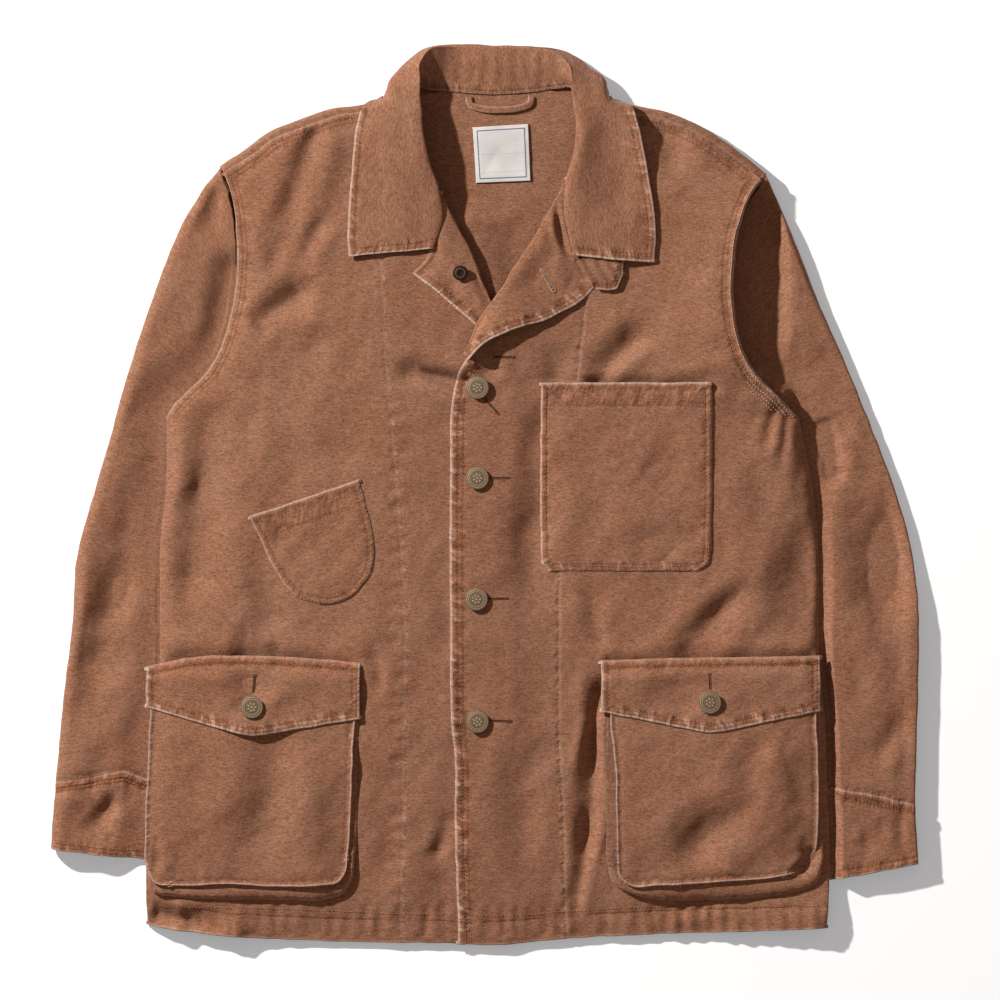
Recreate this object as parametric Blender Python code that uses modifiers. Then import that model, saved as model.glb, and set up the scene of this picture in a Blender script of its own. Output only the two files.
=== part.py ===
"""Chore jacket in washed canvas, lying flat on its back, buttoned, sleeves tucked under its sides.

Sizes are in millimetres: x runs across the body (plus is the wearer's left), y from hem to collar, z up from the
surface it lies on. Each cut piece is one wall. A piece is laid out between its seams by a patch with four
edges, and a height is then given to each of its points. What is sewn on a panel takes that panel's height, moved out.
"""

import math

import bmesh
import bpy
import numpy as np

MM = 0.001
WALL = 1.2  # canvas
GAP = 0.3  # between pieces that meet
LAYER = WALL + GAP  # from the middle of one wall to the middle of the next
FLOOR = WALL / 2  # middle of a wall that lies on the surface
SLEEVE_PRESSED = 4.8  # room that a sleeve takes under the body
SLEEVE_PUFF = 12.0  # middle of a sleeve's upper wall where nothing lies on it
CUFF_PUFF = 9.5
SHOULDER_RISE = 12.5  # middle of the front at the shoulder seam and the upper armhole
SHOULDER_FORWARD = 8.0  # the back comes this far over the shoulder
BREAK_RISE = 3.8  # the upper front over the turned-back edge of the other
OVERLAP = 20.0  # the upper front is a layer higher up to here
SLEEVE_SLOPE = 42.0  # the left sleeve rises this far out from the body's edge
POCKET_LOW, POCKET_DEEP = 3.2, 9.0  # a cargo pocket's rise at its mouth and at its bottom
BUTTON = 19.8  # diameter
CANVAS, BRASS, LABEL = "canvas", "antique_brass", "label"


def table(columns, *rows):
    """Rows of sizes under named columns."""
    found = np.array(rows, float)
    return {name: found[:, i] for i, name in enumerate(columns.split())}


# Side seams, from hem to underarm.
SIDE_RIGHT = table("x y", (-296, -379), (-297, -343), (-294, -270), (-289, -190), (-285, -143), (-285, -94), (-284, -34), (-280, 0), (-279, 41), (-279, 66))
SIDE_LEFT = table("x y", (300, -381), (303, -323), (301, -260), (299, -202), (294, -143), (294, -62), (290, -6), (283, 35), (276, 66))
# Armholes, from underarm to shoulder tip.
ARMHOLE_RIGHT = table("x y", (-279, 66), (-273, 77), (-258, 92), (-244, 106), (-233, 125), (-224, 153), (-219, 181), (-217, 209), (-219, 238), (-226, 271), (-233, 287))
ARMHOLE_LEFT = table("x y", (276, 66), (257, 86), (238, 103), (229, 117), (221, 139), (217, 167), (217, 195), (220, 221), (226, 243), (235, 263), (248, 280))
# Outline of the shoulders, from tip to neck.
SHOULDER_RIGHT = table("x y", (-233, 287), (-207, 304), (-188, 318), (-165, 327), (-146, 334), (-129, 339), (-103, 343), (-76, 349))
SHOULDER_LEFT = table("x y", (248, 280), (227, 297), (205, 313), (182, 326), (160, 335), (134, 341), (115, 345), (96, 350))
HEM = table("x y", (-296, -379), (-230, -388), (-146, -393), (-73, -395), (-22, -396), (14, -396), (73, -391), (154, -387), (238, -384), (300, -381))
# Lengthwise seams between the side and centre parts, from hem to shoulder.
SEAM_RIGHT = table("x y", (-73, -395), (-73, -365), (-72, -287), (-71, -202), (-70, -119), (-74, -34), (-79, 27), (-86, 111), (-91, 204), (-95, 270), (-99, 335.5))
SEAM_LEFT = table("x y", (73, -391), (71, -343), (70, -287), (67, -231), (66, -146), (67, -68), (74, 20), (82, 103), (89, 162), (95, 220), (101, 280), (111, 337.5))
# Edge of the right front, under the other: up to the break, along the roll of the lapel, then the neck seam.
EDGE_UNDER = table("x y", (14, -394), (14, -200), (14, 0), (14, 110), (11, 145), (5, 164), (-9, 200), (-20, 223), (-31.5, 245))
NECK_RIGHT = table("x y", (-31.5, 245), (-43, 254), (-58, 264), (-72, 280), (-79, 302), (-80, 322), (-77, 341))
# Edge of the left front, which shows.
EDGE_OVER = table("x y", (-22, -396), (-25, -287), (-25, -235), (-28, -202), (-29, -125), (-29, 21), (-27, 82), (-22, 104), (-13.6, 120.7), (-4.3, 147), (12.4, 171), (28.5, 197), (44.5, 221), (57, 245))
NECK_LEFT = table("x y", (57, 245), (71, 252), (84, 262), (94, 280), (99, 302), (100, 322), (97, 341.5))
# Lapels: the roll from break to gorge, the free edge from break to tip, and the gorge from roll to tip.
LAPEL_RIGHT_ROLL = table("x y", (9, 156), (7, 165), (2, 178), (-7, 201), (-18, 224), (-26, 239), (-31, 249))
LAPEL_RIGHT_EDGE = table("x y", (0, 141), (-7, 147), (-14, 153), (-29, 166), (-44, 178), (-62, 192))
LAPEL_RIGHT_TOP = table("x y", (-31, 249), (-33.5, 236), (-38, 215), (-62, 192))
LAPEL_LEFT_ROLL = table("x y", (-17, 121), (-12, 136), (-7, 148), (2, 162), (10, 172), (26, 198), (42, 222), (52, 240), (60, 254))
LAPEL_LEFT_EDGE = table("x y", (-15, 116), (-8, 124), (2, 132), (18, 140), (34, 146), (50, 150), (66, 158), (88, 172), (95, 180))
LAPEL_LEFT_TOP = table("x y", (60, 254), (63, 240), (66, 225), (75, 204), (95, 180))

# Sleeves, a row for each section: the outer fold, then the inner fold that is under the body.
SLEEVE_RIGHT = table(
    "outer_x outer_y inner_x inner_y",
    (-233, 287, -219, 179), (-248, 267, -205, 139), (-269, 229, -190, 91), (-293, 167, -176, 44), (-314, 103, -170, -10), (-331, 41, -172, -60),
    (-345, -6, -178, -105), (-358, -56, -187, -147), (-362, -113, -199, -186), (-370, -180, -216, -223), (-377, -254, -236, -263),
)
SLEEVE_LEFT = table(
    "outer_x outer_y inner_x inner_y",
    (248, 280, 217, 179), (258, 258, 204, 139), (271, 226, 190, 91), (294, 167, 176, 44), (316, 117, 170, -4), (339, 61, 172, -54),
    (361, 2, 178, -102), (375, -48, 187, -145), (381, -99, 199, -184), (381, -165, 216, -222), (378, -274, 240, -264),
)
# Cuffs: how far the seam and the end run from outer to inner fold, and the seam's peak.
CUFF_RIGHT = table("across seam_x seam_y end_x end_y", (0, -377, -254, -381, -312), (0.42, -317, -244, -324, -319), (0.6, -294, -253, -301, -321), (1, -236, -263, -244, -328))
CUFF_LEFT = table("across seam_x seam_y end_x end_y", (0, 378, -274, 381, -325), (0.2, 351, -267, 354, -330), (0.5, 307, -259, 307, -339), (1, 240, -264, 243, -350))

# Height of the middle of the front between the side rolls, from hem to neck.
RISE = table("y z", (-400, 7.0), (-370, 8.0), (-330, 10.5), (-280, 13.0), (-200, 16.0), (-100, 17.5), (0, 18.0), (250, 18.0), (300, 17.0), (350, 15.0))

# How far the left front stands proud of its armhole, where the sleeve's cap is folded under it, and how far the fronts' hems lift off.
PROUD = table("y z", (66, 0), (82, 4.5), (105, 8.5), (135, 10.5), (170, 11), (215, 11), (240, 9.5), (262, 5.5), (282, 0))
HEM_LIFT = table("x z", (-296, 1.5), (-262, 4), (-225, 4), (-180, 0.5), (0, 0), (120, 0.5), (200, 2.5), (260, 5), (300, 6))

# Collar, a row for each section from its right end round the neck: seam, fold, leaf and edge of the leaf. turn is 1 where the leaf lies over the stand, -1 where it is behind.
COLLAR = table(
    "seam_x seam_y seam_z fold_x fold_y fold_z leaf_x leaf_y leaf_z edge_x edge_y edge_z turn",
    (-54, 219, 20.2, -43, 216, 22.6, -80, 212, 23.0, -116, 208, 20.4, 0.6),
    (-62, 238, 20.2, -36, 238, 23.6, -76, 236, 24.4, -118, 233, 20.4, 1),
    (-72, 265, 20.2, -39, 264, 24.4, -79, 263, 25.0, -117, 262, 20.4, 1),
    (-77, 296, 19.8, -49, 294, 24.6, -82, 296, 25.6, -114, 301, 20.0, 1),
    (-76, 322, 18.4, -54, 324, 23.8, -84, 326, 24.8, -110, 328, 18.4, 1),
    (-73, 334, 17.0, -55, 337, 23.4, -84, 338, 23.6, -109, 339, 16.6, 0.85),
    (-69, 341, 15.0, -56, 346, 22.6, -84, 347, 20.5, -108, 349, 8.5, 0.55),
    (-65, 347, 12.0, -56, 354, 21.8, -84, 355, 16.5, -106, 351, 2.4, 0.35),
    (-61, 352, 9.0, -56, 362, 20.5, -83, 362, 11.5, -101, 343, 0.6, 0.15),
    (-56, 356, 5.5, -57, 374, 17.0, -73, 374, 7.5, -88, 328, 0.6, -0.4),
    (-49, 355, 4.4, -50, 387, 10.0, -55, 389, 4.4, -66, 319, 0.6, -0.9),
    (-26, 353, 4.4, -27, 393, 6.6, -28, 394.5, 3.0, -32, 317, 0.6, -1),
    (10, 351, 4.4, 10, 392, 6.6, 10, 393.5, 3.0, 10, 316, 0.6, -1),
    (41, 353, 4.4, 42, 391, 6.6, 43, 392.5, 3.0, 50, 317, 0.6, -1),
    (67, 356, 4.4, 67, 384, 10.0, 73, 387, 4.4, 84, 319, 0.6, -0.9),
    (74, 357, 5.5, 75, 373, 17.0, 92, 374, 7.5, 104, 328, 0.6, -0.4),
    (80, 352, 9.0, 76, 362, 20.5, 106, 362, 11.5, 120, 343, 0.6, 0.15),
    (85, 347, 12.0, 76, 354, 21.8, 106, 355, 16.5, 126, 351, 2.4, 0.35),
    (89, 341, 15.0, 77, 346, 22.6, 106, 347, 20.5, 129, 349, 8.5, 0.55),
    (93, 334, 17.0, 78, 337, 23.4, 106, 338, 23.6, 131, 339, 16.6, 0.85),
    (97, 322, 18.4, 80, 325, 23.8, 107, 328, 24.8, 132, 328, 18.4, 1),
    (99, 296, 19.8, 78, 300, 24.6, 108, 300, 25.6, 138, 301, 20.0, 1),
    (95, 268, 20.2, 71, 272, 24.4, 108, 270, 25.2, 144, 269, 20.4, 1),
    (90, 242, 20.2, 70, 242, 24.0, 110, 238, 25.0, 149, 233, 21.4, 1),
    (88, 213, 21.2, 78, 208, 24.2, 114, 204, 24.6, 148, 202, 21.8, 0.6),
)

# Cargo pockets, a row for each place along the gusset from the outer top round the bottom to the inner top: the edge of the face, and the seam on the front.
GUSSET_RIGHT = table(
    "face_x face_y foot_x foot_y",
    (-291, -166, -287, -166), (-292, -200, -288, -200), (-294, -250, -290, -250), (-296, -300, -293, -300), (-295, -328, -294, -335), (-288, -341, -290, -350),
    (-270, -343, -272, -354), (-230, -342, -230, -356), (-172, -344, -172, -357), (-140, -342, -138, -356), (-127, -335, -122, -349), (-121, -315, -115, -325),
    (-118, -285, -113, -285), (-117, -240, -112, -240), (-115, -200, -111, -200), (-115, -166, -111, -166),
)
GUSSET_LEFT = table(
    "face_x face_y foot_x foot_y",
    (289, -166, 290, -166), (290, -200, 294, -200), (291, -245, 295, -245), (290, -290, 296, -292), (286, -315, 297, -325), (275, -332, 290, -345),
    (250, -336, 252, -353), (195, -341, 197, -357), (150, -343, 146, -356), (124, -338, 117, -348), (117, -318, 107, -325), (116, -285, 106, -285),
    (116, -240, 106, -240), (112, -200, 108, -200), (112, -166, 108, -166),
)
FLAP_RIGHT = table("x top bottom", (-295, -152, -187), (-252, -144, -200), (-203, -143, -212), (-157, -145, -205), (-110, -149, -197))
FLAP_LEFT = table("x top bottom", (103, -147, -191), (150, -145.5, -200), (198, -144.5, -209), (245, -144, -200), (293, -143, -190))
# Patch pockets: width of each section.
CHEST = table("y left right", (96, 50, 198), (73, 49.5, 199), (0, 49, 199), (-50, 49.5, 198), (-62, 50.5, 196), (-68, 58, 187))
# The watch pocket in its own tilted frame: down is the way from its top edge, left and right run along it.
WATCH_ORIGIN, WATCH_TILT = (-157.5, -5), math.radians(18.6)
WATCH = table("down left right", (0, -50, 50), (20, -48, 49), (45, -45, 47), (66, -40, 42), (82, -31, 33), (93, -17, 19))
LOOP = table("x y", (-14, 348.5), (-13, 342.5), (-4, 338), (14, 336.5), (30, 338), (40, 342.5), (41.5, 349))
LABEL_CORNERS = table("x y", (-7, 273), (40, 275), (38, 324), (-10, 321))
TAB = table("along low_x low_y high_x high_y", (0, 97, 178.5, 80, 202), (0.5, 108, 177.5, 100, 212), (0.85, 116, 179, 114, 212), (1, 121, 188, 121, 212))
BUTTONS = table("x y", (-6, 92), (-6, 13), (-7, -93), (-6, -200))
FLAP_BUTTONS = table("x y", (-203, -187), (197, -183))
RIVET = (-21, 192)

COLOURS = {CANVAS: (0.30, 0.135, 0.075, 1), BRASS: (0.32, 0.24, 0.15, 1), LABEL: (0.82, 0.80, 0.76, 1)}
FINISH = {CANVAS: (0.9, 0.0), BRASS: (0.42, 0.9), LABEL: (0.85, 0.0)}


def smooth(t):
    t = np.clip(t, 0, 1)
    return t * t * (3 - 2 * t)


def spline(rows, names="x y"):
    """A smooth curve through a table's rows, as a function of the share of its length."""
    points = np.stack([rows[name] for name in names.split()], 1)
    step = np.maximum(np.linalg.norm(np.diff(points, axis=0), axis=1), 1e-6)
    at = np.concatenate([[0], np.cumsum(step)])
    slope = np.diff(points, axis=0) / step[:, None]
    middle = (slope[:-1] * step[1:, None] + slope[1:] * step[:-1, None]) / (step[:-1] + step[1:])[:, None]
    tangent = np.concatenate([slope[:1], middle, slope[-1:]])

    def place(t):
        s = np.asarray(t, float) * at[-1]
        i = np.clip(np.searchsorted(at, s, "right") - 1, 0, len(step) - 1)
        h = step[i][..., None]
        w = ((s - at[i]) / step[i])[..., None]
        return (
            (2 * w**3 - 3 * w**2 + 1) * points[i] + (w**3 - 2 * w**2 + w) * h * tangent[i]
            + (3 * w**2 - 2 * w**3) * points[i + 1] + (w**3 - w**2) * h * tangent[i + 1]
        )

    return place


def chain(*curves):
    """Curves end to end, each with its share of the whole in proportion to its length."""
    length = [np.linalg.norm(np.diff(c(np.linspace(0, 1, 60)), axis=0), axis=1).sum() for c in curves]
    ends = np.concatenate([[0], np.cumsum(length)]) / sum(length)

    def place(t):
        t = np.asarray(t, float)
        found = curves[0](np.clip(t / ends[1], 0, 1))
        for i, c in enumerate(curves[1:], 1):
            part = np.clip((t - ends[i]) / (ends[i + 1] - ends[i]), 0, 1)
            found = np.where((t > ends[i])[..., None], c(part), found)
        return found

    return place


def part_of(c, first, last):
    return lambda t: c(first + (last - first) * np.asarray(t, float))


def moved(c, x=0.0, y=0.0):
    return lambda t: c(t) + np.array([x, y])


def inward(c, by):
    """The curve moved by that much to its right, seen along it."""

    def place(t):
        t = np.asarray(t, float)
        way = c(np.minimum(t + 1e-3, 1)) - c(np.maximum(t - 1e-3, 0))
        way /= np.linalg.norm(way, axis=-1, keepdims=True)
        return c(t) + by * np.stack([way[..., 1], -way[..., 0]], -1)

    return place


def patch(bottom, top, left, right, across, along):
    """Points between four curves, at the shares across and along. Left and right run from bottom to top."""
    u, v = np.meshgrid(across, along, indexing="ij")
    u, v = u[..., None], v[..., None]
    b, t, l, r = bottom(across)[:, None], top(across)[:, None], left(along)[None], right(along)[None]
    corners = (1 - u) * (1 - v) * b[0, 0] + u * (1 - v) * b[-1, 0] + (1 - u) * v * t[0, 0] + u * v * t[-1, 0]
    return (1 - v) * b + v * t + (1 - u) * l + u * r - corners


def ending(c, at, share=0.12):
    """The curve with its end brought to a point, over its last share."""
    shift = np.array(at, float) - c(1.0)
    return lambda t: c(t) + smooth((np.asarray(t, float) - 1 + share) / share)[..., None] * shift


def starting(c, at, share=0.12):
    """The curve with its start brought to a point, over its first share."""
    shift = np.array(at, float) - c(0.0)
    return lambda t: c(t) + smooth((share - np.asarray(t, float)) / share)[..., None] * shift


def line(a, b):
    a, b = np.array(a, float), np.array(b, float)
    return lambda t: a + (b - a) * np.asarray(t, float)[..., None]


side_right, side_left = spline(SIDE_RIGHT), spline(SIDE_LEFT)
arm_right, arm_left = spline(ARMHOLE_RIGHT), spline(ARMHOLE_LEFT)
shoulder_right, shoulder_left = spline(SHOULDER_RIGHT), spline(SHOULDER_LEFT)
hem = spline(HEM)
flank_right, flank_left = chain(side_right, arm_right), chain(side_left, arm_left)
forward_right, forward_left = inward(shoulder_right, SHOULDER_FORWARD), inward(shoulder_left, -SHOULDER_FORWARD)


def outline(forward=0.0):
    """The body's outline from the right hem over the shoulders to the left hem, with its hem open."""
    t = np.linspace(0, 1, 60)
    right, left = inward(shoulder_right, forward)(t[5:]), inward(shoulder_left, -forward)(t[5:])
    return np.concatenate([[[-296, -500]], flank_right(t), right, left[::-1], flank_left(t)[::-1], [[300, -500]]])


OUTLINE, FRONT_OUTLINE = outline(), outline(SHOULDER_FORWARD)


def depth_inside(xy, ring):
    """How far each point is inside the outline, negative outside."""
    shape = xy.shape[:-1]
    p = xy.reshape(-1, 1, 2)
    a, b = ring[:-1][None], ring[1:][None]
    d = b - a
    t = np.clip(((p - a) * d).sum(-1) / np.maximum((d * d).sum(-1), 1e-9), 0, 1)
    near = np.linalg.norm(p - a - t[..., None] * d, axis=-1).min(1)
    a, b = ring, np.roll(ring, -1, 0)
    cross = (a[None, :, 1] > p[..., 1]) != (b[None, :, 1] > p[..., 1])
    x = a[:, 0] + (p[..., 1] - a[:, 1]) * (b - a)[:, 0] / np.where(abs((b - a)[:, 1]) < 1e-9, 1e-9, (b - a)[:, 1])
    inside = (cross & (p[..., 0] < x)).sum(1) % 2 == 1
    return np.where(inside, near, -near).reshape(shape)


def arm_level(y):
    """0 where a sleeve lies under the body's edge, 1 at the upper armhole where it is sewn to it."""
    return smooth((y - 192) / 24)


def tip_level(y):
    """The same on the left, where the armhole's edge drops to the sleeve up to the shoulder tip."""
    return smooth((y - 240) / 30)


def back_height(xy):
    """Middle of the back: on the surface, over the sleeves at its sides, and over the collar's leaf at the neck."""
    x, y = xy[..., 0], xy[..., 1]
    inner_r = np.interp(y, SLEEVE_RIGHT["inner_y"][::-1], SLEEVE_RIGHT["inner_x"][::-1])
    inner_l = np.interp(y, SLEEVE_LEFT["inner_y"][::-1], SLEEVE_LEFT["inner_x"][::-1])
    over = np.maximum(smooth((inner_r + 104 - x) / 54), smooth((x - inner_l + 104) / 54))
    over = over * smooth((y + 384) / 28) * (1 - arm_level(y))
    neck = smooth((y - 290) / 24) * smooth((x + 140) / 24) * smooth((160 - x) / 24)
    return FLOOR + SLEEVE_PRESSED * over + 1.9 * neck


def edge_height(xy):
    """Middle of the front along its outer edge, just over the back or at the shoulder's height."""
    x, y = xy[..., 0], xy[..., 1]
    low = FLOOR + SLEEVE_PRESSED * smooth((y + 384) / 28) + LAYER + 0.6
    return low + (SHOULDER_RISE - low) * np.where(x > 0, tip_level(y), arm_level(y))


def front_height(xy, roll=None):
    """Middle of the front: it rolls up from the edge to a nearly level top."""
    y = xy[..., 1]
    rise = np.interp(y, RISE["y"], RISE["z"])
    edge = edge_height(xy)
    width = 28 - 12 * smooth((-110 - y) / 40) if roll is None else roll
    depth = depth_inside(xy, FRONT_OUTLINE)
    t = np.clip(depth / width, 0, 1)
    proud = np.where(xy[..., 0] > 0, np.interp(y, PROUD["y"], PROUD["z"], 0, 0), 0) * smooth(depth / 2.6) * (1 - smooth((depth - 8) / 78))
    # The proud edge is full height at once, so its roll is narrow.
    narrow = smooth(depth / 2.6) * (rise - 1 - edge) * (1 - np.sqrt(1 - (1 - t) ** 2)) * smooth(proud / 6)
    lift = np.interp(xy[..., 0], HEM_LIFT["x"], HEM_LIFT["z"]) * smooth((-322 - y) / 50)
    return edge + (rise - edge) * np.sqrt(1 - (1 - t) ** 2) + proud + narrow + lift


def over_height(xy):
    """The front that laps over: a layer higher along the buttons, and more at the break, where the other lapel is under it."""
    x, y = xy[..., 0], xy[..., 1]
    at_break = smooth((y - 94) / 22) * smooth((246 - y) / 76) * (1 - smooth((x - 15) / 62))
    return front_height(xy) + LAYER * (1 - smooth((x - OVERLAP) / 25)) + BREAK_RISE * at_break


def facing(height, xy):
    """Unit normals of a height over the plan."""
    h = 1.0
    dx = (height(xy + [h, 0]) - height(xy - [h, 0])) / (2 * h)
    dy = (height(xy + [0, h]) - height(xy - [0, h])) / (2 * h)
    n = np.stack([-dx, -dy, np.ones_like(dx)], -1)
    return n / np.linalg.norm(n, axis=-1, keepdims=True)


def on(height, xy, out=0.0):
    """Points on a height, moved out of it."""
    points = np.concatenate([xy, height(xy)[..., None]], -1)
    return points + out * facing(height, xy) if out else points


def sheet(name, points, finish=CANVAS, wall=WALL, tube=False):
    """One wall whose middle runs through a net of points. A tube's first and last rows are one."""
    across, along = points.shape[:2]
    bm = bmesh.new()
    bmesh.ops.create_grid(bm, x_segments=across - 1, y_segments=along - 1, size=1)
    for vertex in bm.verts:
        i = round((vertex.co.x + 1) / 2 * (across - 1))
        j = round((vertex.co.y + 1) / 2 * (along - 1))
        vertex.co = points[i, j] * MM
    if tube:
        bmesh.ops.remove_doubles(bm, verts=bm.verts, dist=1e-6)
    bmesh.ops.recalc_face_normals(bm, faces=bm.faces)
    mesh = bpy.data.meshes.new(name)
    bm.to_mesh(mesh)
    bm.free()
    thing = bpy.data.objects.new(name, mesh)
    JACKET.objects.link(thing)
    thing.data.materials.append(MATERIALS[finish])
    solid = thing.modifiers.new("wall", "SOLIDIFY")
    solid.thickness = wall * MM
    solid.offset = 0
    solid.use_even_offset = False
    mesh.shade_smooth()
    mesh.set_sharp_from_angle(angle=math.radians(50))
    return thing


def turned(name, profile, at, finish):
    """A turned piece: its profile's radius and height, from the top's middle down and round to the bottom's middle."""
    mesh = bpy.data.meshes.new(name)
    bm = bmesh.new()
    last = None
    for radius, height in zip(profile["radius"], profile["height"]):
        vertex = bm.verts.new((radius * MM, 0, height * MM))
        if last:
            bm.edges.new((last, vertex))
        last = vertex
    bm.to_mesh(mesh)
    bm.free()
    thing = bpy.data.objects.new(name, mesh)
    JACKET.objects.link(thing)
    thing.data.materials.append(MATERIALS[finish])
    screw = thing.modifiers.new("turn", "SCREW")
    screw.steps = screw.render_steps = 12
    screw.use_merge_vertices = True
    screw.merge_threshold = 0.00001
    screw.use_normal_calculate = True
    thing.location = [c * MM for c in at]
    return thing


for old in list(bpy.data.objects):
    bpy.data.objects.remove(old, do_unlink=True)
JACKET = bpy.data.collections.new("chore_jacket")
bpy.context.scene.collection.children.link(JACKET)
MATERIALS = {}
for name, colour in COLOURS.items():
    made = bpy.data.materials.new(name)
    made.use_nodes = True
    shader = made.node_tree.nodes["Principled BSDF"]
    shader.inputs["Base Color"].default_value = colour
    shader.inputs["Roughness"].default_value, shader.inputs["Metallic"].default_value = FINISH[name]
    MATERIALS[name] = made


# Rows that the back and the fronts share from hem to shoulder, closer together along the armholes.
ROWS = np.array([0, 0.03, 0.06, 0.18, 0.34, 0.50, 0.61, 0.66, 0.69, 0.73, 0.78, 0.83, 0.86, 0.89, 0.93, 0.97, 1])


def back_panel():
    """One piece. Its top row is the neck seam and the middle of the shoulder rolls, and four more rows run over the shoulders to the front."""
    radius = (SHOULDER_RISE - FLOOR) / 2
    over_r, over_l = inward(shoulder_right, radius), inward(shoulder_left, -radius)
    # The neck seam is a flat arc between the two neck points.
    neck = line(over_r(1.0), over_l(1.0))

    def neck_arc(t):
        return neck(t) + np.stack([0 * t, 9 * np.sin(np.pi * t)], -1)

    def top(t):
        t = np.asarray(t, float)
        r, m, l = over_r(np.clip(t / 0.36, 0, 1)), neck_arc(np.clip((t - 0.36) / 0.28, 0, 1)), over_l(np.clip((1 - t) / 0.36, 0, 1))
        return np.where((t < 0.36)[..., None], r, np.where((t > 0.64)[..., None], l, m))

    across = np.array([0, 0.04, 0.09, 0.15, 0.215, 0.28, 0.36, 0.43, 0.5, 0.57, 0.64, 0.72, 0.785, 0.85, 0.91, 0.96, 1])
    flat = patch(moved(hem, 0, 1.5), top, ending(flank_right, top(0.0)), ending(flank_left, top(1.0)), across, ROWS)
    body = on(back_height, flat)
    # Over the shoulder: round the outline, then forward. At the neck the rows go flat under the stand.
    shoulder = 1 - smooth((across - 0.28) / 0.08) + smooth((across - 0.64) / 0.08)
    way = top(np.minimum(across + 2e-3, 1)) - top(np.maximum(across - 2e-3, 0))
    way /= np.linalg.norm(way, axis=1, keepdims=True)
    out = np.stack([-way[:, 1], way[:, 0]], 1)
    rows = []
    base = body[:, -1]
    for turn, ahead in ((45, 0), (90, 0), (135, 0), (180, SHOULDER_FORWARD - radius - 1.0)):
        a = math.radians(turn)
        r = (SHOULDER_RISE - base[:, 2]) / 2
        rolled = np.concatenate([out * (r * math.sin(a) - ahead)[:, None], (r * (1 - math.cos(a)))[:, None]], 1)
        tucked = np.concatenate([out * (3.5 * turn / 180), np.zeros((len(r), 1))], 1)
        rows.append(base + shoulder[:, None] * rolled + (1 - shoulder)[:, None] * tucked)
    sheet("back_panel", np.concatenate([body, np.stack(rows, 1)], 1))


def side_front(name, seam, flank, shoulder, hem_share, shoulder_share, side):
    """side is -1 on the wearer's right. Rows run from hem to shoulder."""
    near = np.array([0, 0.012, 0.045, 0.10, 0.19, 0.34, 0.55, 0.78, 1])
    flank = ending(flank, shoulder(0.0))
    if side < 0:
        flat = patch(part_of(hem, 0, hem_share), part_of(shoulder, 0, shoulder_share), flank, moved(seam, -GAP / 2), near, ROWS)
    else:
        flat = patch(part_of(hem, hem_share, 1), lambda t: shoulder(shoulder_share * (1 - np.asarray(t, float))), moved(seam, GAP / 2), flank, 1 - near[::-1], ROWS)
    sheet(name, on(front_height, flat))


def centre_front(name, seam, edge, neck, hem_shares, height, side):
    """Rows from hem to shoulder. The free edge turns at the break into the roll, and at the gorge into the neck seam."""
    outer = chain(edge, neck)
    near = np.linspace(0, 1, 5) if side < 0 else np.array([0, 0.2, 0.42, 0.66, 0.86, 1])
    if side < 0:
        flat = patch(part_of(hem, *hem_shares), line(seam(1.0) + [GAP / 2, 0], neck(1.0)), moved(seam, GAP / 2), outer, near, ROWS)
    else:
        flat = patch(part_of(hem, *hem_shares), line(neck(1.0), seam(1.0) - [GAP / 2, 0]), outer, moved(seam, -GAP / 2), near, np.sort(np.append(ROWS, (0.71, 0.755, 0.805))))
    sheet(name, on(height, flat))


def lapel(name, roll, edge, top, height, out):
    """The facing turned back: from inside the front, round the roll and over it to its free edge."""
    along = np.linspace(0, 1, 12)
    flat = patch(line(roll(0.0), edge(0.0)), top, roll, edge, np.linspace(0, 1, 6), along)
    fold, inner = flat[0], flat[1] - flat[0]
    inner /= np.linalg.norm(inner, axis=1, keepdims=True)
    rows = []
    # The roll is pressed flat at the break, where the fronts cross, and soft above it.
    soft = smooth(along / 0.45)
    for depth, low, high in ((9, -1.7, -1.8), (2.8, -1.7, -1.9), (0.7, -1.1, -1.3), (0.0, 0.1, 0.9), (0.7, 1.3, 2.8), (3.2, 1.7, 3.6)):
        rise = low + (high - low) * soft
        rows.append(np.concatenate([fold + inner * depth, (height(fold + inner * depth) + rise)[:, None]], 1))
    for i, high in ((2, 3.2), (3, 2.7), (4, 2.3), (5, out)):
        rise = 1.8 + (high - 1.8) * soft
        rows.append(np.concatenate([flat[i], (height(flat[i]) + rise)[:, None]], 1))
    sheet(name, np.stack(rows))


def collar():
    found = np.stack(list(COLLAR.values()), 1)
    behind = smooth((0.7 - found[:, 12:]) / 0.5)
    seam, fold, leaf, edge, turn = found[:, 0:3], found[:, 3:6], found[:, 6:9], found[:, 9:12], found[:, 12:]
    up = np.array([0, 0, 1.0])

    def toward(a, b, by):
        return a + (b - a) / np.linalg.norm(b - a, axis=1, keepdims=True) * by

    stand = toward(fold, seam, 3.2) - 2.2 * turn * up
    over = toward(fold, leaf, 3.2) + 1.9 * turn * up
    net = [seam, stand, toward(fold, seam, 0.9) - 1.6 * turn * up, fold, toward(fold, leaf, 0.9) + 1.4 * turn * up, over, over + (leaf - over) * 0.5, leaf]
    for share in (0.35, 0.7):
        # Behind, the leaf comes down at once and lies flat under the back.
        point = leaf + (edge - leaf) * share
        flat = edge[:, 2] + (leaf[:, 2] - edge[:, 2]) * (1 - share) ** 2 * 0.25
        point[:, 2] += (flat - point[:, 2]) * behind[:, 0]
        net.append(point)
    net.append(edge)
    net = np.stack(net)
    net[..., 2] = np.maximum(net[..., 2], FLOOR)
    sheet("collar", net)


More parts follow.
